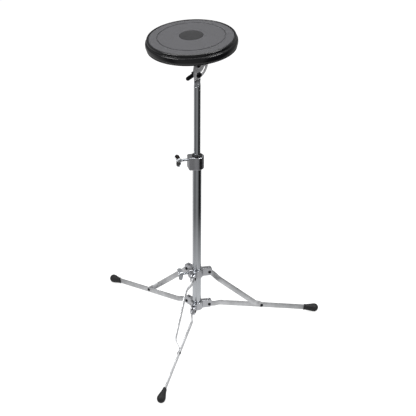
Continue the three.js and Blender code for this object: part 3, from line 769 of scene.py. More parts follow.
def build_playing_surface(sizes, place):
    """The crowned rubber sheet, with its ring groove and a well for the centre spot."""
    edge = sizes.surface_radius
    groove = sizes.groove_radius
    well = sizes.spot_radius + 0.3

    def on_face(radius, drop=0.0):
        return (radius, crown_at(radius, sizes) - drop)

    profile = [(0, -sizes.surface_thickness), (edge - 0.5, -sizes.surface_thickness)]
    profile += [(edge, -sizes.surface_thickness + 0.5), (edge, -1.6), (edge - 0.25, -0.8)]
    profile += [(edge - 0.8, -0.25), (edge - 1.8, crown_at(edge - 1.8, sizes))]
    profile += [on_face(edge - 4 - 3 * i) for i in range(5)]
    for side in (1, -1):
        wall = [on_face(groove + side * 2.2), on_face(groove + side * 1.6, 0.2)]
        wall.append(on_face(groove + side * 1.2, GROOVE_DEPTH))
        profile += wall[::side]
    profile += [on_face(groove - 8 - 8 * i) for i in range(6)]
    profile += [on_face(well + 0.5), on_face(well + 0.1, 0.2), on_face(well, 0.6)]
    profile += [on_face(well, 1.3), on_face(well / 2, 1.3), (0, sizes.crown - 1.3)]
    obj = turned_piece(
        "playing_surface_rubber", profile, 160, place, "grey_rubber", "pad", "playing_surface"
    )


def build_centre_spot(sizes, place):
    """The darker disc, set into its well and a hair proud of the face."""
    edge = sizes.spot_radius

    def on_face(radius, rise):
        return (radius, crown_at(radius, sizes) + rise)

    profile = [(0, sizes.crown - 1.0), on_face(edge / 2, -1.0), on_face(edge, -1.0)]
    profile += [on_face(edge, -0.15), on_face(edge - 0.15, 0.1), on_face(edge - 0.5, 0.2)]
    profile += [on_face(edge * k / 5, 0.2) for k in (4, 3, 2, 1)] + [(0, sizes.crown + 0.2)]
    turned_piece("centre_spot_disc", profile, 128, place, "dark_rubber", "pad", "centre_spot")


def build_rim(sizes, place):
    """The rim has a bead at the top, a step, a fuller body and a thin lip at its foot."""
    inner = sizes.surface_radius + 0.4
    outer = sizes.surface_radius + sizes.rim_width
    foot = -sizes.rim_depth
    shelf = foot + 6.1
    bead = outer - 4
    profile = [(inner, shelf), (inner, -0.8), (inner + 0.3, 0.1), (inner + 1.0, 0.7)]
    profile += [(inner + 2.0, 0.95), (bead - 2.2, 0.7), (bead - 1.0, 0.0), (bead - 0.25, -1.2)]
    profile += [(bead, -2.8), (bead, -4.6), (bead - 0.25, -6.0), (bead - 0.7, -6.9)]
    profile += [(bead - 0.3, -7.6), (bead + 0.8, -8.1), (outer - 2.0, -8.7), (outer - 1.0, -9.7)]
    profile += [(outer - 0.35, -11.2), (outer, -13.2), (outer, -15.8), (outer - 0.15, -18.5)]
    profile += [(outer - 0.7, foot + 9.0), (outer - 1.6, foot + 6.4), (outer - 2.7, foot + 4.2)]
    profile += [(outer - 3.5, foot + 3.0), (outer - 3.7, foot + 2.4), (outer - 3.1, foot + 2.0)]
    profile += [(outer - 2.9, foot + 1.3), (outer - 3.1, foot + 0.5), (outer - 3.8, foot)]
    profile += [(inner - 7.6, foot), (inner - 8.1, foot + 0.5), (inner - 8.1, shelf)]
    profile = profile[:1] + eased(profile[1:-3]) + profile[-3:]
    turned_piece("pad_rim_moulding", profile, 320, place, "black_plastic", "pad", "pad_rim")


def build_pad_board(sizes, place):
    """The fibreboard's underside shows inside the rim's flange."""
    wide = sizes.surface_radius - 0.5
    narrow = sizes.surface_radius - 8.0
    foot = -sizes.rim_depth
    profile = [(0, foot + 0.2), (narrow - 0.8, foot + 0.2), (narrow, foot + 1.0)]
    profile += [(narrow, foot + 6.6), (wide, foot + 6.6), (wide, foot + 15.2), (0, foot + 15.2)]
    turned_piece("pad_board", profile, 128, place, "fibreboard", "pad", "pad_base")


def build_bracket_screws(place):
    """Button-head screws with a round socket, one in each corner of the flange."""
    normal = place.to_3x3() @ -UP
    head_from_middle = 5.3
    for i in (1, 2, 3, 4):
        head = middle(f"bracket_screw_{i}") + normal * head_from_middle * MM
        profile = [(0, 1.0), (1.5, 1.0), (1.7, 1.2), (1.75, 2.1), (2.1, 2.2), (3.2, 1.7)]
        profile += [(3.85, 0.9), (4.0, 0.3), (3.9, 0), (2.0, 0), (2.0, -13.0), (1.4, -14.4), (0, -15)]
        name, node = f"bracket_screw_button_{i}", f"bracket_screw_{i}"
        turned_piece(
            name, profile, SMALL_ROUND, turn_to(normal, head), "plated_steel", "pad", node
        )


class PAD_OT_build_pad(bpy.types.Operator):
    """Builds the rubber face, its centre spot, the rim and the board"""

    bl_idname = "practice_pad.build_pad"
    bl_label = "Pad"

    def execute(self, context):
        sizes = in_mm(context.scene.pad_sizes)
        place, _, _ = disc_matrix()
        build_playing_surface(sizes, place)
        build_centre_spot(sizes, place)
        build_rim(sizes, place)
        build_pad_board(sizes, place)
        build_bracket_screws(place)
        return {"FINISHED"}


# ---- Tilter --------------------------------------------------------------------------------------


def tilter_matrix():
    """The post's frame at the tilt pivot: x toward the lean, y toward the bolt's head, z up."""
    across = Vector(JOINTS["pad_tilt"]["axis"]).normalized()
    return axes_matrix(joint_place("pad_tilt"), across.cross(UP), across, UP)


# Millimetres. The bracket's plate lies beside the stem's blade, and both slide on the bolt.
STEM_HALF = 2.0
BRACKET_NEAR = STEM_HALF + 0.3
BRACKET_FAR = BRACKET_NEAR + 3.0
SLOT_RADIUS = 28.0
SLOT_HALF = 3.3


def build_bracket(place, offset, height):
    """A quadrant plate with an arc slot about the pivot, welded to a flange under the pad."""
    tilt = math.degrees(UP.angle(place.to_3x3() @ UP))
    pivot = place @ Matrix.Translation(Vector((-offset, 0, -height)) * MM)
    flange_top = height - in_mm(bpy.context.scene.pad_sizes).rim_depth - 0.3
    limits = JOINTS["pad_tilt"]["range_deg"]
    start = -90 + tilt + limits[1] + 1
    end = -90 + tilt + limits[0] - 1
    outer = SLOT_RADIUS + SLOT_HALF + 7.0
    outline = [(26, flange_top - 1), (15, 6)]
    outline += arc(14, -27, 6.5, 10, -60, 10)
    outline += arc(0, 0, outer, start + 12, end - 17, 40)
    outline += [(-28, flange_top - 1)]
    slot = arc(0, 0, SLOT_RADIUS + SLOT_HALF, end, start, 30)
    ends = [
        (SLOT_RADIUS * math.cos(math.radians(a)), SLOT_RADIUS * math.sin(math.radians(a)))
        for a in (start, end)
    ]
    slot += arc(*ends[0], SLOT_HALF, start, start + 180, 10)[1:-1]
    slot += arc(0, 0, SLOT_RADIUS - SLOT_HALF, start, end, 26)
    slot += arc(*ends[1], SLOT_HALF, end + 180, end + 360, 10)[1:-1]
    bm = bmesh.new()
    plate(bm, outline, BRACKET_NEAR, BRACKET_FAR, edge=0, hole=slot)
    on_pad = Matrix.Translation((0, 0, flange_top * MM)) @ LAID_FLAT
    plate(bm, rounded_outline(-42, 42, -23, 23, 5), -3.0, 0, on_pad, edge=0.4)
    high, low = flange_top - 1, flange_top - 5
    weld = [(-20, high), (20, high), (16, low), (-16, low)]
    plate(bm, weld, BRACKET_NEAR - 0.6, BRACKET_FAR + 0.6, edge=0)
    cast("tilter_bracket", bm, pivot, "blasted_steel", "pad", ["pad_bracket"], 0.6, 2)


def build_stem(place):
    """The stem is a plug in the tube's top that is pressed flat above it into a blade."""
    tube_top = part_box("upper_tube")[1].z
    base = (tube_top - place.translation.z) / MM
    half_width = 12.0
    bolt_z = (middle("tilt_clamp_bolt").z - place.translation.z) / MM
    outline = arc(0, 0, half_width, 0, 180, 24)
    outline += [(-half_width, bolt_z - 8), (-11, base + 10), (11, base + 10)]
    outline += [(half_width, bolt_z - 8)]
    bm = bmesh.new()
    plate(bm, outline, -STEM_HALF, STEM_HALF, edge=0)
    sections = [
        (base + 0.3, 9.2, 9.2),
        (base + 0.8, 9.5, 9.5),
        (base + 3.0, 9.55, 9.3),
        (base + 6.0, 9.8, 7.8),
        (base + 9.0, 10.2, 5.8),
        (base + 12.0, 10.6, 4.0),
        (base + 15.0, 10.9, 2.8),
        (base + 18.0, 11.1, STEM_HALF),
        (base + 20.0, 11.1, STEM_HALF - 0.4),
    ]
    neck = bmesh.new()
    ring = bmesh.ops.create_circle(neck, cap_ends=True, radius=1.0, segments=64)["verts"]
    shape_ring(ring, *sections[0])
    for section in sections[1:]:
        edges = [e for e in neck.edges if all(v in ring for v in e.verts)]
        grown = bmesh.ops.extrude_edge_only(neck, edges=edges)["geom"]
        ring = [g for g in grown if isinstance(g, bmesh.types.BMVert)]
        shape_ring(ring, *section)
    bmesh.ops.contextual_create(neck, geom=[e for e in neck.edges if all(v in ring for v in e.verts)])
    bmesh.ops.recalc_face_normals(neck, faces=neck.faces)
    add_part(bm, neck)
    turned(bm, [(0, base - 20), (7.4, base - 20), (8.0, base - 19), (8.0, base + 2), (0, base + 2)])
    stem = cast("tilter_stem_pressed", bm, place, "blasted_steel", "post", ["tilter_stem"], 0.45, 3)
    stem.data.materials.append(MATERIALS["chrome"])
    shoulder = place.translation.z + (base + 19) * MM
    for face in stem.data.polygons:
        face.material_index = 1 if face.center.z < shoulder else 0


def shape_ring(verts, height, half_x, half_y):
    """Places a ring of verts on a flattened circle at a height."""
    for vert in verts:
        angle = math.atan2(vert.co.y, vert.co.x) if vert.co.length else 0.0
        flat = min(1.0, half_y / half_x)
        square = 1.0 - 0.5 * (1.0 - flat)
        c, n = math.cos(angle), math.sin(angle)
        vert.co.x = half_x * math.copysign(abs(c) ** square, c) * MM
        vert.co.y = half_y * math.copysign(abs(n) ** square, n) * MM
        vert.co.z = height * MM


def threaded(radius, start, end, pitch=1.25, depth=0.45):
    """Profile points of a thread drawn as rings, from one height to another."""
    count = int((end - start) / pitch)
    points = []
    for i in range(count):
        low = start + i * pitch
        points += [(radius - depth, low), (radius, low + pitch * 0.45), (radius, low + pitch * 0.6)]
    return points + [(radius - depth, start + count * pitch)]


def build_tilt_fasteners(place):
    """The clamp bolt, its washer and wing nut, and the rivet that the pad tilts on."""
    across = place.to_3x3() @ Vector((0, 1, 0))
    bolt = Vector((*place.translation.xy, middle("tilt_clamp_bolt").z))
    head_face = BRACKET_FAR + 0.3
    nut_face = -STEM_HALF - 0.6 - 2
    bm = bmesh.new()
    head = bmesh.new()
    bmesh.ops.create_cone(
        head, cap_ends=True, segments=6, radius1=7.9 * MM, radius2=7.9 * MM, depth=4.6 * MM
    )
    bmesh.ops.translate(head, verts=head.verts, vec=(0, 0, (head_face + 3.1) * MM))
    bmesh.ops.bevel(
        head,
        geom=head.edges[:],
        offset=0.55 * MM,
        offset_type="OFFSET",
        affect="EDGES",
        segments=3,
        profile=0.5,
        material=-1,
    )
    add_part(bm, head)
    skirt = [(0, head_face), (7.8, head_face), (8.0, head_face + 0.4), (7.7, head_face + 1.2)]
    turned(bm, skirt + [(6.6, head_face + 1.6), (0, head_face + 1.6)], 64)
    shank = [(0, nut_face - 16)] + threaded(3.0, nut_face - 15.4, -STEM_HALF)
    turned(bm, shank + [(3.0, head_face + 1), (0, head_face + 1)], SMALL_ROUND)
    piece("tilt_bolt", bm, turn_to(across, bolt), "black_steel", "post", ["tilt_clamp_bolt"])

    low, high = -STEM_HALF - 2.3, -STEM_HALF - 0.3
    ring = [(3.3, low + 0.2), (3.5, low), (7.6, low), (8, low + 0.4), (8, high - 0.4)]
    ring += [(7.6, high), (3.5, high), (3.3, high - 0.2)]
    at_bolt = turn_to(across, bolt)
    turned_piece("tilt_washer_ring", ring, 64, at_bolt, "plated_steel", "post", "tilt_washer")

    near, far = -STEM_HALF - 2.8, BRACKET_FAR + 2.8
    pin = [(0, near), (4.6, near), (6.2, near + 0.5), (7.0, near + 1.4), (7.0, near + 2.4)]
    pin += [(4, near + 2.5), (4, far - 2.5), (7.0, far - 2.4), (7.0, far - 1.4)]
    pin += [(6.2, far - 0.5), (4.6, far), (0, far)]
    pivot = turn_to(across, place.translation)
    turned_piece("tilt_pivot_rivet", pin, 48, pivot, "black_steel", "post", "tilt_pivot_pin")

    face = bolt - across * abs(nut_face) * MM
    bm = bmesh.new()
    wing_shape(bm, 7.0, 10.0, 27.0, 8.0, bore=3.3)
    turn = wing_matrix(-across, face)
    cast("tilt_wing_nut_casting", bm, turn, "black_steel", "tilt_nut", ["tilt_wing_nut"], 0.45, 3)


def wing_shape(bm, hub_radius, length, reach, sweep, bore=0.0):
    """A tapered boss along +Z with two flat, rounded wings that sweep away from the screw."""
    r = hub_radius
    if bore:
        hub = [(bore, 0), (r * 0.96, 0), (r, 0.5), (r * 0.92, length * 0.7), (r * 0.78, length)]
        hub += [(bore, length)]
    else:
        hub = [(0, 0), (r * 0.96, 0), (r, 0.5), (r * 0.92, length * 0.7), (r * 0.8, length)]
        hub += [(r * 0.5, length + 0.8), (0, length + 1.0)]
    turned(bm, hub, 48)
    stand_up = Matrix.Rotation(math.radians(-90), 4, "Y")
    for side in (-1, 1):
        inner = side * (bore + 2.7 if bore else 2.0)
        outline = capsule_outline(7.0, inner, 7.0 + sweep, side * (reach - 6.8), 6.8, 16)
        plate(bm, outline, -1.6, 1.6, stand_up, edge=0)


def wing_matrix(axis, origin):
    """A wing fastener's frame: z along its screw, x in the plane of its wings."""
    axis = axis.normalized()
    side = UP.cross(axis).normalized()
    turn = bpy.context.scene.stand_sizes.wing_turn
    blade = UP * math.cos(turn) - side * math.sin(turn)
    return axes_matrix(origin, blade, axis.cross(blade), axis)


class PAD_OT_build_tilter(bpy.types.Operator):
    """Builds the bracket, the stem and the fasteners between the pad and the tube"""

    bl_idname = "practice_pad.build_tilter"
    bl_label = "Tilter"

    def execute(self, context):
        disc, offset, height = disc_matrix()
        place = tilter_matrix()
        build_bracket(disc, offset, height)
        build_stem(place)
        build_tilt_fasteners(place)
        return {"FINISHED"}


# ---- Tubes ---------------------------------------------------------------------------------------


def tube_profile(outer, inner, low, high, lip=0.5):
    """A tube's wall with rounded ends. A ring close to each keeps the long wall's shading even."""
    ease = 2 * lip
    return [
        (inner, low + lip),
        (inner + 0.4 * lip, low),
        (outer - 0.6 * lip, low),
        (outer, low + lip),
        (outer, low + lip + ease),
        (outer, high - lip - ease),
        (outer, high - lip),
        (outer - 0.6 * lip, high),
        (inner + 0.4 * lip, high),
        (inner, high - lip),
    ]


def build_tube(name, node, body, wall):
    """One of the two tubes, as long and as wide as its CAD node."""
    low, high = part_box(node)
    outer = (high.x - low.x) / 2 / MM
    profile = tube_profile(outer, outer - wall, low.z / MM, high.z / MM)
    turned_piece(name, profile, 128, Matrix.Translation(tube_axis()), "chrome", body, node)


def build_bushing():
    """A nylon sleeve in the clamp, with a collar that shows above it."""
    low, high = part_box("clamp_bushing")
    inner = 9.8
    outer = (high.x - low.x) / 2 / MM
    sleeve = 10.9
    top, foot = high.z / MM, low.z / MM
    collar = top - 3.7
    profile = [(inner, foot), (sleeve, foot), (sleeve, collar), (outer - 0.4, collar)]
    profile += [(outer, collar + 0.4), (outer, top - 1.2), (outer - 0.4, top - 0.4)]
    profile += [(outer - 1.4, top), (inner + 0.5, top), (inner, top - 0.5)]
    place = Matrix.Translation(tube_axis())
    turned_piece("clamp_sleeve", profile, ROUND, place, "nylon", "base", "clamp_bushing")


def build_end_plug():
    """The rubber plug in the main tube's foot, with a rim that covers the tube's end."""
    low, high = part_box("tube_end_plug")
    foot, top = low.z / MM, high.z / MM
    outer = (high.x - low.x) / 2 / MM
    profile = [(0, foot), (outer - 1.6, foot), (outer - 0.5, foot + 0.4), (outer, foot + 1.4)]
    profile += [(outer, foot + 2.8), (10.9, foot + 3.0), (10.9, top - 1.5), (9.8, top), (0, top)]
    place = Matrix.Translation(tube_axis())
    turned_piece("end_plug", profile, ROUND, place, "foot_rubber", "base", "tube_end_plug")


class PAD_OT_build_tubes(bpy.types.Operator):
    """Builds the two tubes, the sleeve between them and the plug at the foot"""

    bl_idname = "practice_pad.build_tubes"
    bl_label = "Tubes"

    def execute(self, context):
        build_tube("main_tube_drawn", "main_tube", "base", 1.5)
        build_tube("upper_tube_drawn", "upper_tube", "post", 1.2)
        build_bushing()
        build_end_plug()
        return {"FINISHED"}


# ---- Castings ------------------------------------------------------------------------------------


# Millimetres: the castings' bore round the main tube, and the outside of the two leg rings.
BORE = 13.0
RING = 18.5


def ring_part(bm, outer, low, high, ease=0.8):
    """The ring of a casting, round the main tube."""
    profile = [(BORE, low + 0.3), (BORE + 0.3, low), (outer - ease, low), (outer, low + ease)]
    profile += [(outer, high - ease), (outer - ease, high), (BORE + 0.3, high), (BORE, high - 0.3)]
    turned(bm, profile, ROUND)


def lug_parts(bm, height, direction):
    """Two cheeks and the root that joins them to the ring, on one side."""
    turn = Matrix.Rotation(math.atan2(direction.y, direction.x), 4, "Z")
    slot, cheek = 1.8, 6.5
    for y0, y1 in ((-cheek, -slot), (slot, cheek)):
        plate(bm, rounded_outline(15.5, 46, 0, height, 6.5), y0, y1, turn, edge=0)
    plate(bm, rounded_outline(15.5, 28, 0, height, 1.0), -cheek, cheek, turn, edge=0)


def boss_parts(bm, reach, half, height, screw_height):
    """The block that a wing screw passes through, with a turned seat round the screw."""
    turn = Matrix.Rotation(math.atan2(screw_direction().y, screw_direction().x), 4, "Z")
    plate(
        bm, rounded_outline(BORE + 0.6, reach, -half, half, 5.5), 0, height, turn @ LAID_FLAT, edge=2.2
    )
    seat = turn @ Matrix.Translation((reach * MM, 0, screw_height * MM))
    seat = seat @ Matrix.Rotation(math.radians(90), 4, "Y")
    turned(bm, [(0, -3), (7.2, -3), (7.2, 0.3), (6.6, 1.0), (4.6, 1.2), (0, 1.2)], 48, seat)


def build_lug_casting(name, node, body, joint_names, boss):
    """A ring with a pair of lugs for each strap, and a boss if a wing screw goes through it."""
    low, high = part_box(node)
    height = (high.z - low.z) / MM
    bm = bmesh.new()
    ring_part(bm, RING, 0, height)
    for joint in joint_names:
        lug_parts(bm, height, level_frame(joint)[1])
    if boss:
        boss_parts(bm, 26.2, 10, height, height / 2)
    place = Matrix.Translation(tube_axis() + Vector((0, 0, low.z)))
    cast(name, bm, place, "cast_zinc", body, [node], 0.6, 4)


def build_height_clamp():
    """The block on the main tube's top, whose wing screw holds the upper tube."""
    low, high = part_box("height_clamp")
    height = (high.z - low.z) / MM
    screw_height = (middle("height_wing_screw").z - low.z) / MM
    bm = bmesh.new()
    ring_part(bm, 20.0, 0, height, 1.2)
    boss_parts(bm, 26.2, 17, height, screw_height)
    turn = Matrix.Rotation(math.atan2(screw_direction().y, screw_direction().x), 4, "Z")
    for side in (-1, 1):
        flank = rounded_outline(1, 18, *sorted((side * 13.6, side * 17.0)), 0.6, 2)
        plate(bm, flank, 0.6, height - 0.6, turn @ LAID_FLAT, edge=0)
    place = Matrix.Translation(tube_axis() + Vector((0, 0, low.z)))
    cast("height_clamp_casting", bm, place, "cast_zinc", "base", ["height_clamp"], 0.6, 4)


def build_hub_screw():
    """A socket set screw in the hub's ring."""
    direction = screw_direction()
    face_from_axis = 19.0
    origin = tube_axis() + UP * middle("hub_screw").z + direction * face_from_axis * MM
    profile = [(0, -1.6), (1.4, -1.6), (1.5, -1.4), (1.5, 0.1), (2.3, 0.1), (2.9, -0.5)]
    profile += [(2.9, -5.6), (0, -5.6)]
    place = turn_to(direction, origin)
    turned_piece("hub_set_screw", profile, SMALL_ROUND, place, "black_steel", "base", "hub_screw")


class PAD_OT_build_castings(bpy.types.Operator):
    """Builds the hub, the sliding collar and the height clamp"""

    bl_idname = "practice_pad.build_castings"
    bl_label = "Castings"

    def execute(self, context):
        legs = [f"leg_{i}_fold" for i in LEGS]
        struts = [f"strut_{i}_fold" for i in LEGS]
        build_lug_casting("lower_hub_casting", "lower_hub", "base", legs, False)
        build_lug_casting("leg_collar_casting", "leg_collar", "collar", struts, True)
        build_height_clamp()
        build_hub_screw()
        return {"FINISHED"}


# ---- Wing screws ---------------------------------------------------------------------------------


def build_wing_screw(name, node, body, tip, hub_at):
    """A cast wing head on a threaded shank. Both distances are from the tube's axis."""
    direction = screw_direction()
    origin = tube_axis() + UP * middle(node).z + direction * hub_at * MM
    radius = in_mm(bpy.context.scene.stand_sizes).screw_radius
    head = bmesh.new()
    wing_shape(head, radius + 1.6, 10.5, 19.0, 3.0)
    skin = fused(head, 0.42, 3)
    bm = bmesh.new()
    bm.from_mesh(skin)
    bpy.data.meshes.remove(skin)
    length = hub_at - tip
    shank = [(0, -length), (radius - 1.0, -length)]
    shank += threaded(radius, -length + 0.6, -1.0, 1.5, 0.5)
    turned(bm, shank + [(radius - 0.5, 0.6), (0, 0.6)], SMALL_ROUND)
    piece(name, bm, wing_matrix(direction, origin), "chrome", body, [node])


class PAD_OT_build_wing_screws(bpy.types.Operator):
    """Builds the wing screws of the height clamp and of the collar"""

    bl_idname = "practice_pad.build_wing_screws"
    bl_label = "Wing Screws"

    def execute(self, context):
        build_wing_screw("height_wing_screw_cast", "height_wing_screw", "height_screw", 11.1, 46)
        build_wing_screw("collar_wing_screw_cast", "collar_wing_screw", "collar_screw", 15.0, 41)
        return {"FINISHED"}


# ---- Legs ----------------------------------------------------------------------------------------


def bent_offset(x, path, radius=5.0):
    """The strap's sideways place at x, along a path of (x, offset) corners with eased bends."""

    def straight(at):
        for (x0, y0), (x1, y1) in zip(path, path[1:]):
            if at <= x1:
                return y0 + (y1 - y0) * (at - x0) / (x1 - x0)
        return path[-1][1]

    samples = [straight(min(max(x + radius * k / 4, path[0][0]), path[-1][0])) for k in range(-4, 5)]
    return sum(samples) / len(samples)


def build_strap(name, node, body, place, path):
    """A flat strap with round ends, bent sideways along its path."""
    sizes = in_mm(bpy.context.scene.stand_sizes)
    half = sizes.strap_width / 2
    first, last = path[0][0], path[-1][0]
    bm = bmesh.new()
    outline = capsule_outline(first + half, 0, last - half, 0, half, 14)
    points = [bm.verts.new((x * MM, 0, z * MM)) for x, z in outline]
    bm.faces.new(points)
    cuts = []
    for (x0, y0), (x1, y1) in zip(path, path[1:]):
        if y0 != y1:
            count = int((x1 - x0 + 16) / 1.5)
            cuts += [x0 - 8 + (x1 - x0 + 16) * i / count for i in range(count + 1)]
        else:
            cuts += [x0 + (x1 - x0) * i / 8 for i in range(1, 8)]
    for x in sorted(set(cuts)):
        if first + half < x < last - half:
            bmesh.ops.bisect_plane(
                bm,
                geom=bm.verts[:] + bm.edges[:] + bm.faces[:],
                plane_co=(x * MM, 0, 0),
                plane_no=(1, 0, 0),
                dist=1e-7,
            )
    for vert in bm.verts:
        vert.co.y = bent_offset(vert.co.x / MM, path) * MM
    bmesh.ops.recalc_face_normals(bm, faces=bm.faces)
    wall = {"thickness": sizes.strap_thickness * MM, "offset": 0, "use_even_offset": True}
    edges = {"width": 0.5 * MM, "segments": 2, "limit_method": "ANGLE"}
    edges["angle_limit"] = math.radians(50)
    strap = applied(bm, [("SOLIDIFY", wall), ("BEVEL", edges)])
    strap.transform(place)
    finish_piece(name, strap, "plated_steel", body, [node])


def dome(radius, face, height, sign):
    """Profile of a domed head, from its rim to its crown, standing on a face."""
    rim = [(radius, face), (radius, face + sign * height * 0.3)]
    crown = [(radius * c, face + sign * height * s) for c, s in ((0.9, 0.62), (0.7, 0.85), (0.4, 0.97))]
    return rim + crown + [(0, face + sign * height)]


def build_rivet(name, node, body, place, low, high, heads):
    """A rivet along the strap's y axis, with a domed head at each end that is asked for."""
    radius = in_mm(bpy.context.scene.stand_sizes).rivet_radius
    head = radius + 1.6
    profile = []
    if heads[0]:
        profile += [*reversed(dome(head, low + 2, 2, -1)), (radius, low + 2)]
    else:
        profile += [(0, low), (radius, low)]
    if heads[1]:
        profile += [(radius, high - 2)] + dome(head, high - 2, 2, 1)
    else:
        profile += [(radius, high), (0, high)]
    across = Matrix.Rotation(math.radians(-90), 4, "X")
    turned_piece(name, profile, SMALL_ROUND, place @ across, "black_steel", body, node)


def build_foot(number, place, grip_from, tip):
    """A moulded foot: a rolled mouth, a neck that swells to a bulb, and a flat where it stands."""
    bulb = 13.0
    mouth = grip_from
    centre = tip - bulb
    offset = in_mm(bpy.context.scene.stand_sizes).leg_offset
    profile = [(0, mouth), (8.4, mouth), (9.6, mouth + 0.4), (10.1, mouth + 1.4)]
    profile += [(10.1, mouth + 2.8), (9.7, mouth + 3.8), (9.6, mouth + 5.0), (9.9, mouth + 8.0)]
    profile += [(10.6, mouth + 14), (11.5, mouth + 21), (12.4, mouth + 28), (12.9, centre - 2)]
    profile += [(bulb * math.cos(a), centre + bulb * math.sin(a)) for a in quarter_turn(9)]
    profile += [(0, tip)]
    bm = bmesh.new()
    turned(bm, profile, 64)
    for vert in bm.verts:
        along = min(max((vert.co.z / MM - mouth) / 30, 0), 1)
        vert.co.y *= 0.56 + (0.94 - 0.56) * along
    swap = Matrix(((0, 0, 1, 0), (0, 1, 0, offset * MM), (-1, 0, 0, 0), (0, 0, 0, 1)))
    bmesh.ops.transform(bm, matrix=place @ swap, verts=bm.verts)
    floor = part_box(f"rubber_foot_{number}")[0].z
    for vert in bm.verts:
        vert.co.z = max(vert.co.z, floor)
    piece(
        f"foot_moulding_{number}",
        bm,
        Matrix.Identity(4),
        "foot_rubber",
        f"leg_{number}",
        [f"rubber_foot_{number}"],
    )


def quarter_turn(steps):
    """Angles from the widest ring to just short of the tip."""
    return [math.pi / 2 * i / steps for i in range(steps)]


def build_leg(number):
    """A leg with its foot, its strut and the rivets of both."""
    sizes = in_mm(bpy.context.scene.stand_sizes)
    half = sizes.strap_width / 2
    leg_body, strut_body = f"leg_{number}", f"strut_{number}"
    leg, brace = spoke_matrix(f"leg_{number}_fold", -1, f"leg_brace_rivet_{number}")
    run = [(-half, 0), (18, 0), (36, sizes.leg_offset), (sizes.leg_length, sizes.leg_offset)]
    build_strap(f"leg_strap_{number}", f"leg_bar_{number}", leg_body, leg, run)
    build_foot(number, leg, sizes.leg_length - 38, sizes.leg_length + 10)
    face = sizes.leg_offset - sizes.strap_thickness / 2
    at_brace = leg @ Matrix.Translation((brace * MM, 0, 0))
    build_rivet(
        f"leg_half_rivet_{number}",
        f"leg_brace_rivet_{number}",
        leg_body,
        at_brace,
        face,
        face + sizes.strap_thickness + 2.3,
        (False, True),
    )

    strut, reach = spoke_matrix(f"strut_{number}_fold", 1, f"strut_brace_rivet_{number}")
    end = sizes.leg_offset - sizes.strap_thickness - 0.3
    run = [(-half, 0), (18, 0), (36, sizes.strut_offset), (reach - 36, sizes.strut_offset)]
    run += [(reach - 13, end), (reach + half, end)]
    build_strap(f"strut_strap_{number}", f"strut_bar_{number}", strut_body, strut, run)
    back = end - sizes.strap_thickness / 2
    at_end = strut @ Matrix.Translation((reach * MM, 0, 0))
    build_rivet(
        f"strut_half_rivet_{number}",
        f"strut_brace_rivet_{number}",
        strut_body,
        at_end,
        back - 2.3,
        end + sizes.strap_thickness / 2,
        (True, False),
    )
    for node, joint, body in (
        (f"leg_pivot_rivet_{number}", f"leg_{number}_fold", "base"),
        (f"strut_top_rivet_{number}", f"strut_{number}_fold", "collar"),
    ):
        pivot, outward, across = level_frame(joint)
        place = axes_matrix(pivot, outward, across, UP)
        build_rivet(f"{node}_domed", node, body, place, -8.8, 8.8, (True, True))


class PAD_OT_build_legs(bpy.types.Operator):
    """Builds the straps, rivets and rubber feet of the three legs"""

    bl_idname = "practice_pad.build_legs"
    bl_label = "Legs"

    def execute(self, context):
        for number in LEGS:
            build_leg(number)
        return {"FINISHED"}


# ---- Pieces kept from the frame ------------------------------------------------------------------


class PAD_OT_finish_inner_pieces(bpy.types.Operator):
    """Gives the small pieces inside the pad and the tubes their materials"""

    bl_idname = "practice_pad.finish_inner_pieces"
    bl_label = "Inner Pieces"

    def execute(self, context):
        slots = {
            "foam_layer": "foam",
            "tube_guide": "nylon",
            "clamp_shoe": "brass",
            "collar_shoe": "brass",
            "stem_pin": "plated_steel",
        }
        for node, slot in slots.items():
            mesh = frame["nodes"][node].data
            mesh.materials.clear()
            mesh.materials.append(MATERIALS[slot])
        return {"FINISHED"}


# ---- Stage ---------------------------------------------------------------------------------------


def show_by_ray(tree, reflected, seen, output):
    """Ends a tree with one shader for the camera and another for every other ray."""
    path = add_node(tree, "ShaderNodeLightPath")
    links = {"Fac": path.outputs["Is Camera Ray"], 1: reflected, 2: seen}
    either = add_node(tree, "ShaderNodeMixShader", {}, links)
    add_node(tree, output, {}, {"Surface": either.outputs["Shader"]})


# Metres: half the floor's side, how far it lies under the feet, and the distances from the tube between which the
# pale floor at the feet gives way to the painted reflection bands.
FLOOR_HALF = 14
FLOOR_DROP = 0.0004
PAINTED_BANDS_FROM, PAINTED_BANDS_FULL = 0.22, 0.75
FLOOR_AT_FEET = 0.78


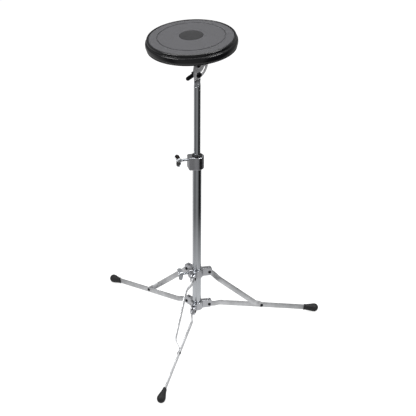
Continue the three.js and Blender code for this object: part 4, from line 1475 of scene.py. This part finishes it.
def build_floor(centre):
    """A white sweep to the camera. Every other ray sees, in its place, painted grey and black bands round the
    stand, turned with the camera, which paint dark and light reflection bands on the tubes."""
    bm = bmesh.new()
    bmesh.ops.create_grid(bm, x_segments=2, y_segments=2, size=FLOOR_HALF)
    bmesh.ops.translate(bm, verts=bm.verts, vec=-UP * FLOOR_DROP)
    mesh = bpy.data.meshes.new("floor")
    bm.to_mesh(mesh)
    bm.free()
    floor = bpy.data.objects.new("floor", mesh)
    bpy.context.collection.objects.link(floor)
    material = bpy.data.materials.new("white_sweep_painted_reflection_bands")
    material.use_nodes = True
    tree = material.node_tree
    tree.nodes.clear()
    place = add_node(tree, "ShaderNodeTexCoord").outputs["Object"]
    # The painted reflection bands turn with the camera's azimuth.
    settings = {"vector_type": "TEXTURE", "Location": (centre.x, centre.y, 0)}
    settings["Rotation"] = (0, 0, bpy.context.scene.stage_settings.azimuth - math.radians(90))
    turned_place = add_node(tree, "ShaderNodeMapping", settings, {"Vector": place}).outputs["Vector"]
    around = add_node(
        tree, "ShaderNodeTexGradient", {"gradient_type": "RADIAL"}, {"Vector": turned_place}
    )
    painted_band_ramp = add_node(tree, "ShaderNodeValToRGB", {}, {"Fac": around.outputs["Fac"]})
    set_ramp(painted_band_ramp, PAINTED_REFLECTION_BANDS)
    distance = add_node(tree, "ShaderNodeVectorMath", {"operation": "LENGTH"}, {0: turned_place})
    away = between(tree, distance.outputs["Value"], 0.0, 1.0, PAINTED_BANDS_FROM, PAINTED_BANDS_FULL)
    painted_reflection_mix = add_node(tree, "ShaderNodeMix", {"data_type": "RGBA"}, {0: away})
    painted_reflection_mix.inputs[6].default_value = (FLOOR_AT_FEET,) * 3 + (1,)
    tree.links.new(painted_band_ramp.outputs["Color"], painted_reflection_mix.inputs[7])
    # Painted reflection: an emission that only rays other than the camera's see, pale near the feet and banded
    # further out.
    painted_reflection_glow = add_node(
        tree, "ShaderNodeEmission", {"Strength": 1.0}, {"Color": painted_reflection_mix.outputs[2]}
    )
    paper = add_node(tree, "ShaderNodeBsdfDiffuse", {"Color": (0.32, 0.32, 0.32, 1)})
    glow = add_node(tree, "ShaderNodeEmission", {"Color": (1, 1, 1, 1), "Strength": 0.86})
    sweep = add_node(
        tree, "ShaderNodeAddShader", {}, {0: paper.outputs["BSDF"], 1: glow.outputs["Emission"]}
    )
    lit, seen = painted_reflection_glow.outputs["Emission"], sweep.outputs["Shader"]
    show_by_ray(tree, lit, seen, "ShaderNodeOutputMaterial")
    mesh.materials.append(material)


# Painted reflection bands round the stand, seen only by rays other than the camera's, as (share of a turn,
# brightness). 0.5 faces the camera and more is to its right.
PAINTED_REFLECTION_BANDS = [
    (0.0, 0.35),
    (0.1, 0.4),
    (0.2, 0.5),
    (0.3, 0.3),
    (0.33, 0.09),
    (0.365, 0.09),
    (0.4, 0.28),
    (0.5, 0.3),
    (0.59, 0.24),
    (0.62, 0.01),
    (0.765, 0.015),
    (0.8, 0.16),
    (0.88, 0.26),
    (1.0, 0.35),
]


def build_world():
    """White to the camera, and a grey room with a pale ceiling to everything else."""
    world = bpy.data.worlds.new("studio")
    bpy.context.scene.world = world
    world.use_nodes = True
    tree = world.node_tree
    tree.nodes.clear()
    place = add_node(tree, "ShaderNodeTexCoord")
    split = add_node(tree, "ShaderNodeSeparateXYZ", {}, {"Vector": place.outputs["Generated"]})
    ramp = add_node(tree, "ShaderNodeValToRGB", {}, {"Fac": split.outputs["Z"]})
    set_ramp(ramp, [(0.0, 0.2), (0.2, 0.12), (0.5, 0.32), (1.0, 0.5)])
    room = add_node(
        tree, "ShaderNodeBackground", {"Strength": 1.0}, {"Color": ramp.outputs["Color"]}
    )
    white = add_node(tree, "ShaderNodeBackground", {"Color": (1, 1, 1, 1), "Strength": 1.0})
    lit, seen = room.outputs["Background"], white.outputs["Background"]
    show_by_ray(tree, lit, seen, "ShaderNodeOutputWorld")


def camera_frame(settings):
    """Right, up and back of the camera, before its roll."""
    a, e = settings.azimuth, settings.elevation
    back = Vector((math.sin(a) * math.cos(e), -math.cos(a) * math.cos(e), math.sin(e)))
    right = Vector((math.cos(a), math.sin(a), 0))
    return right, back.cross(right), back


def build_camera(settings, centre):
    """A long lens that looks down on the stand from its front right."""
    right, _, back = camera_frame(settings)
    aim = centre + UP * settings.aim_height + right * settings.aim_right
    data = bpy.data.cameras.new("camera")
    data.lens = settings.lens
    data.sensor_width = 36
    data.clip_end = 60
    camera = bpy.data.objects.new("camera", data)
    bpy.context.collection.objects.link(camera)
    camera.location = aim + back * settings.distance
    camera.rotation_mode = "QUATERNION"
    roll = Quaternion(UP, settings.roll)
    camera.rotation_quaternion = (-back).to_track_quat("-Z", "Y") @ roll
    bpy.context.scene.camera = camera


def add_softbox(name, aim, direction, distance, size, power):
    """A soft rectangular light that faces the stand."""
    data = bpy.data.lights.new(name, "AREA")
    data.shape = "RECTANGLE"
    data.size, data.size_y = size
    data.energy = power
    light = bpy.data.objects.new(name, data)
    bpy.context.collection.objects.link(light)
    toward = Vector(direction).normalized()
    light.location = aim + toward * distance
    light.rotation_mode = "QUATERNION"
    light.rotation_quaternion = (-toward).to_track_quat("-Z", "Y")


LIGHT_AIM_HEIGHT = 0.6
# Name, direction as (up, toward the camera, right), distance, size in metres, watts.
SOFTBOXES = (
    ("key", (1.1, 0.7, -1.15), 3.0, (1.8, 0.6), 46),
    ("fill", (0.9, 0.6, 1.0), 3.0, (1.5, 0.55), 40),
    ("top", (1.6, -0.5, 0.0), 2.6, (1.6, 1.6), 34),
)


class PAD_OT_build_stage(bpy.types.Operator):
    """Sets up the white floor, the soft lights and the camera"""

    bl_idname = "practice_pad.build_stage"
    bl_label = "Stage"

    def execute(self, context):
        settings = context.scene.stage_settings
        context.scene.view_settings.view_transform = "Standard"
        centre = tube_axis()
        right, _, back = camera_frame(settings)
        build_camera(settings, centre)
        build_floor(centre)
        build_world()
        level_back = Vector((back.x, back.y, 0)).normalized()
        aim = centre + UP * LIGHT_AIM_HEIGHT
        for name, (rise, nearer, sideways), distance, size, power in SOFTBOXES:
            direction = UP * rise + level_back * nearer + right * sideways
            add_softbox(name, aim, direction, distance, size, power)
        return {"FINISHED"}


# ---- Panel and run -------------------------------------------------------------------------------


BUILD_OPERATORS = (
    PAD_OT_build_stage,
    PAD_OT_build_pad,
    PAD_OT_build_tilter,
    PAD_OT_build_tubes,
    PAD_OT_build_castings,
    PAD_OT_build_wing_screws,
    PAD_OT_build_legs,
    PAD_OT_finish_inner_pieces,
)


class PAD_PT_build(bpy.types.Panel):
    """Lists the sizes, the finishes and the builders"""

    bl_idname = "PAD_PT_build"
    bl_label = "Practice Pad"
    bl_space_type = "VIEW_3D"
    bl_region_type = "UI"
    bl_category = "Practice Pad"

    def draw(self, context):
        column = self.layout.column()
        for name in SETTINGS:
            group = getattr(context.scene, name)
            for key in group.bl_rna.properties.keys():
                if key not in ("rna_type", "name"):
                    column.prop(group, key)
        for operator in BUILD_OPERATORS:
            column.operator(operator.bl_idname)


SETTINGS = {
    "pad_sizes": PadSizes,
    "stand_sizes": StandSizes,
    "pad_finishes": Finishes,
    "stage_settings": StageSettings,
}
CLASSES = (*SETTINGS.values(), *BUILD_OPERATORS, PAD_PT_build)


def register():
    """Adds the classes and the settings to Blender."""
    for cls in CLASSES:
        bpy.utils.register_class(cls)
    for name, group in SETTINGS.items():
        setattr(bpy.types.Scene, name, bpy.props.PointerProperty(type=group))


def unregister():
    """Takes the settings and the classes out of Blender."""
    for name in SETTINGS:
        delattr(bpy.types.Scene, name)
    for cls in reversed(CLASSES):
        bpy.utils.unregister_class(cls)


def main():
    """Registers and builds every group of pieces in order."""
    register()
    MATERIALS.update(make_materials())
    for operator in BUILD_OPERATORS:
        group, name = operator.bl_idname.split(".")
        getattr(getattr(bpy.ops, group), name)()


if __name__ == "__main__":
    main()
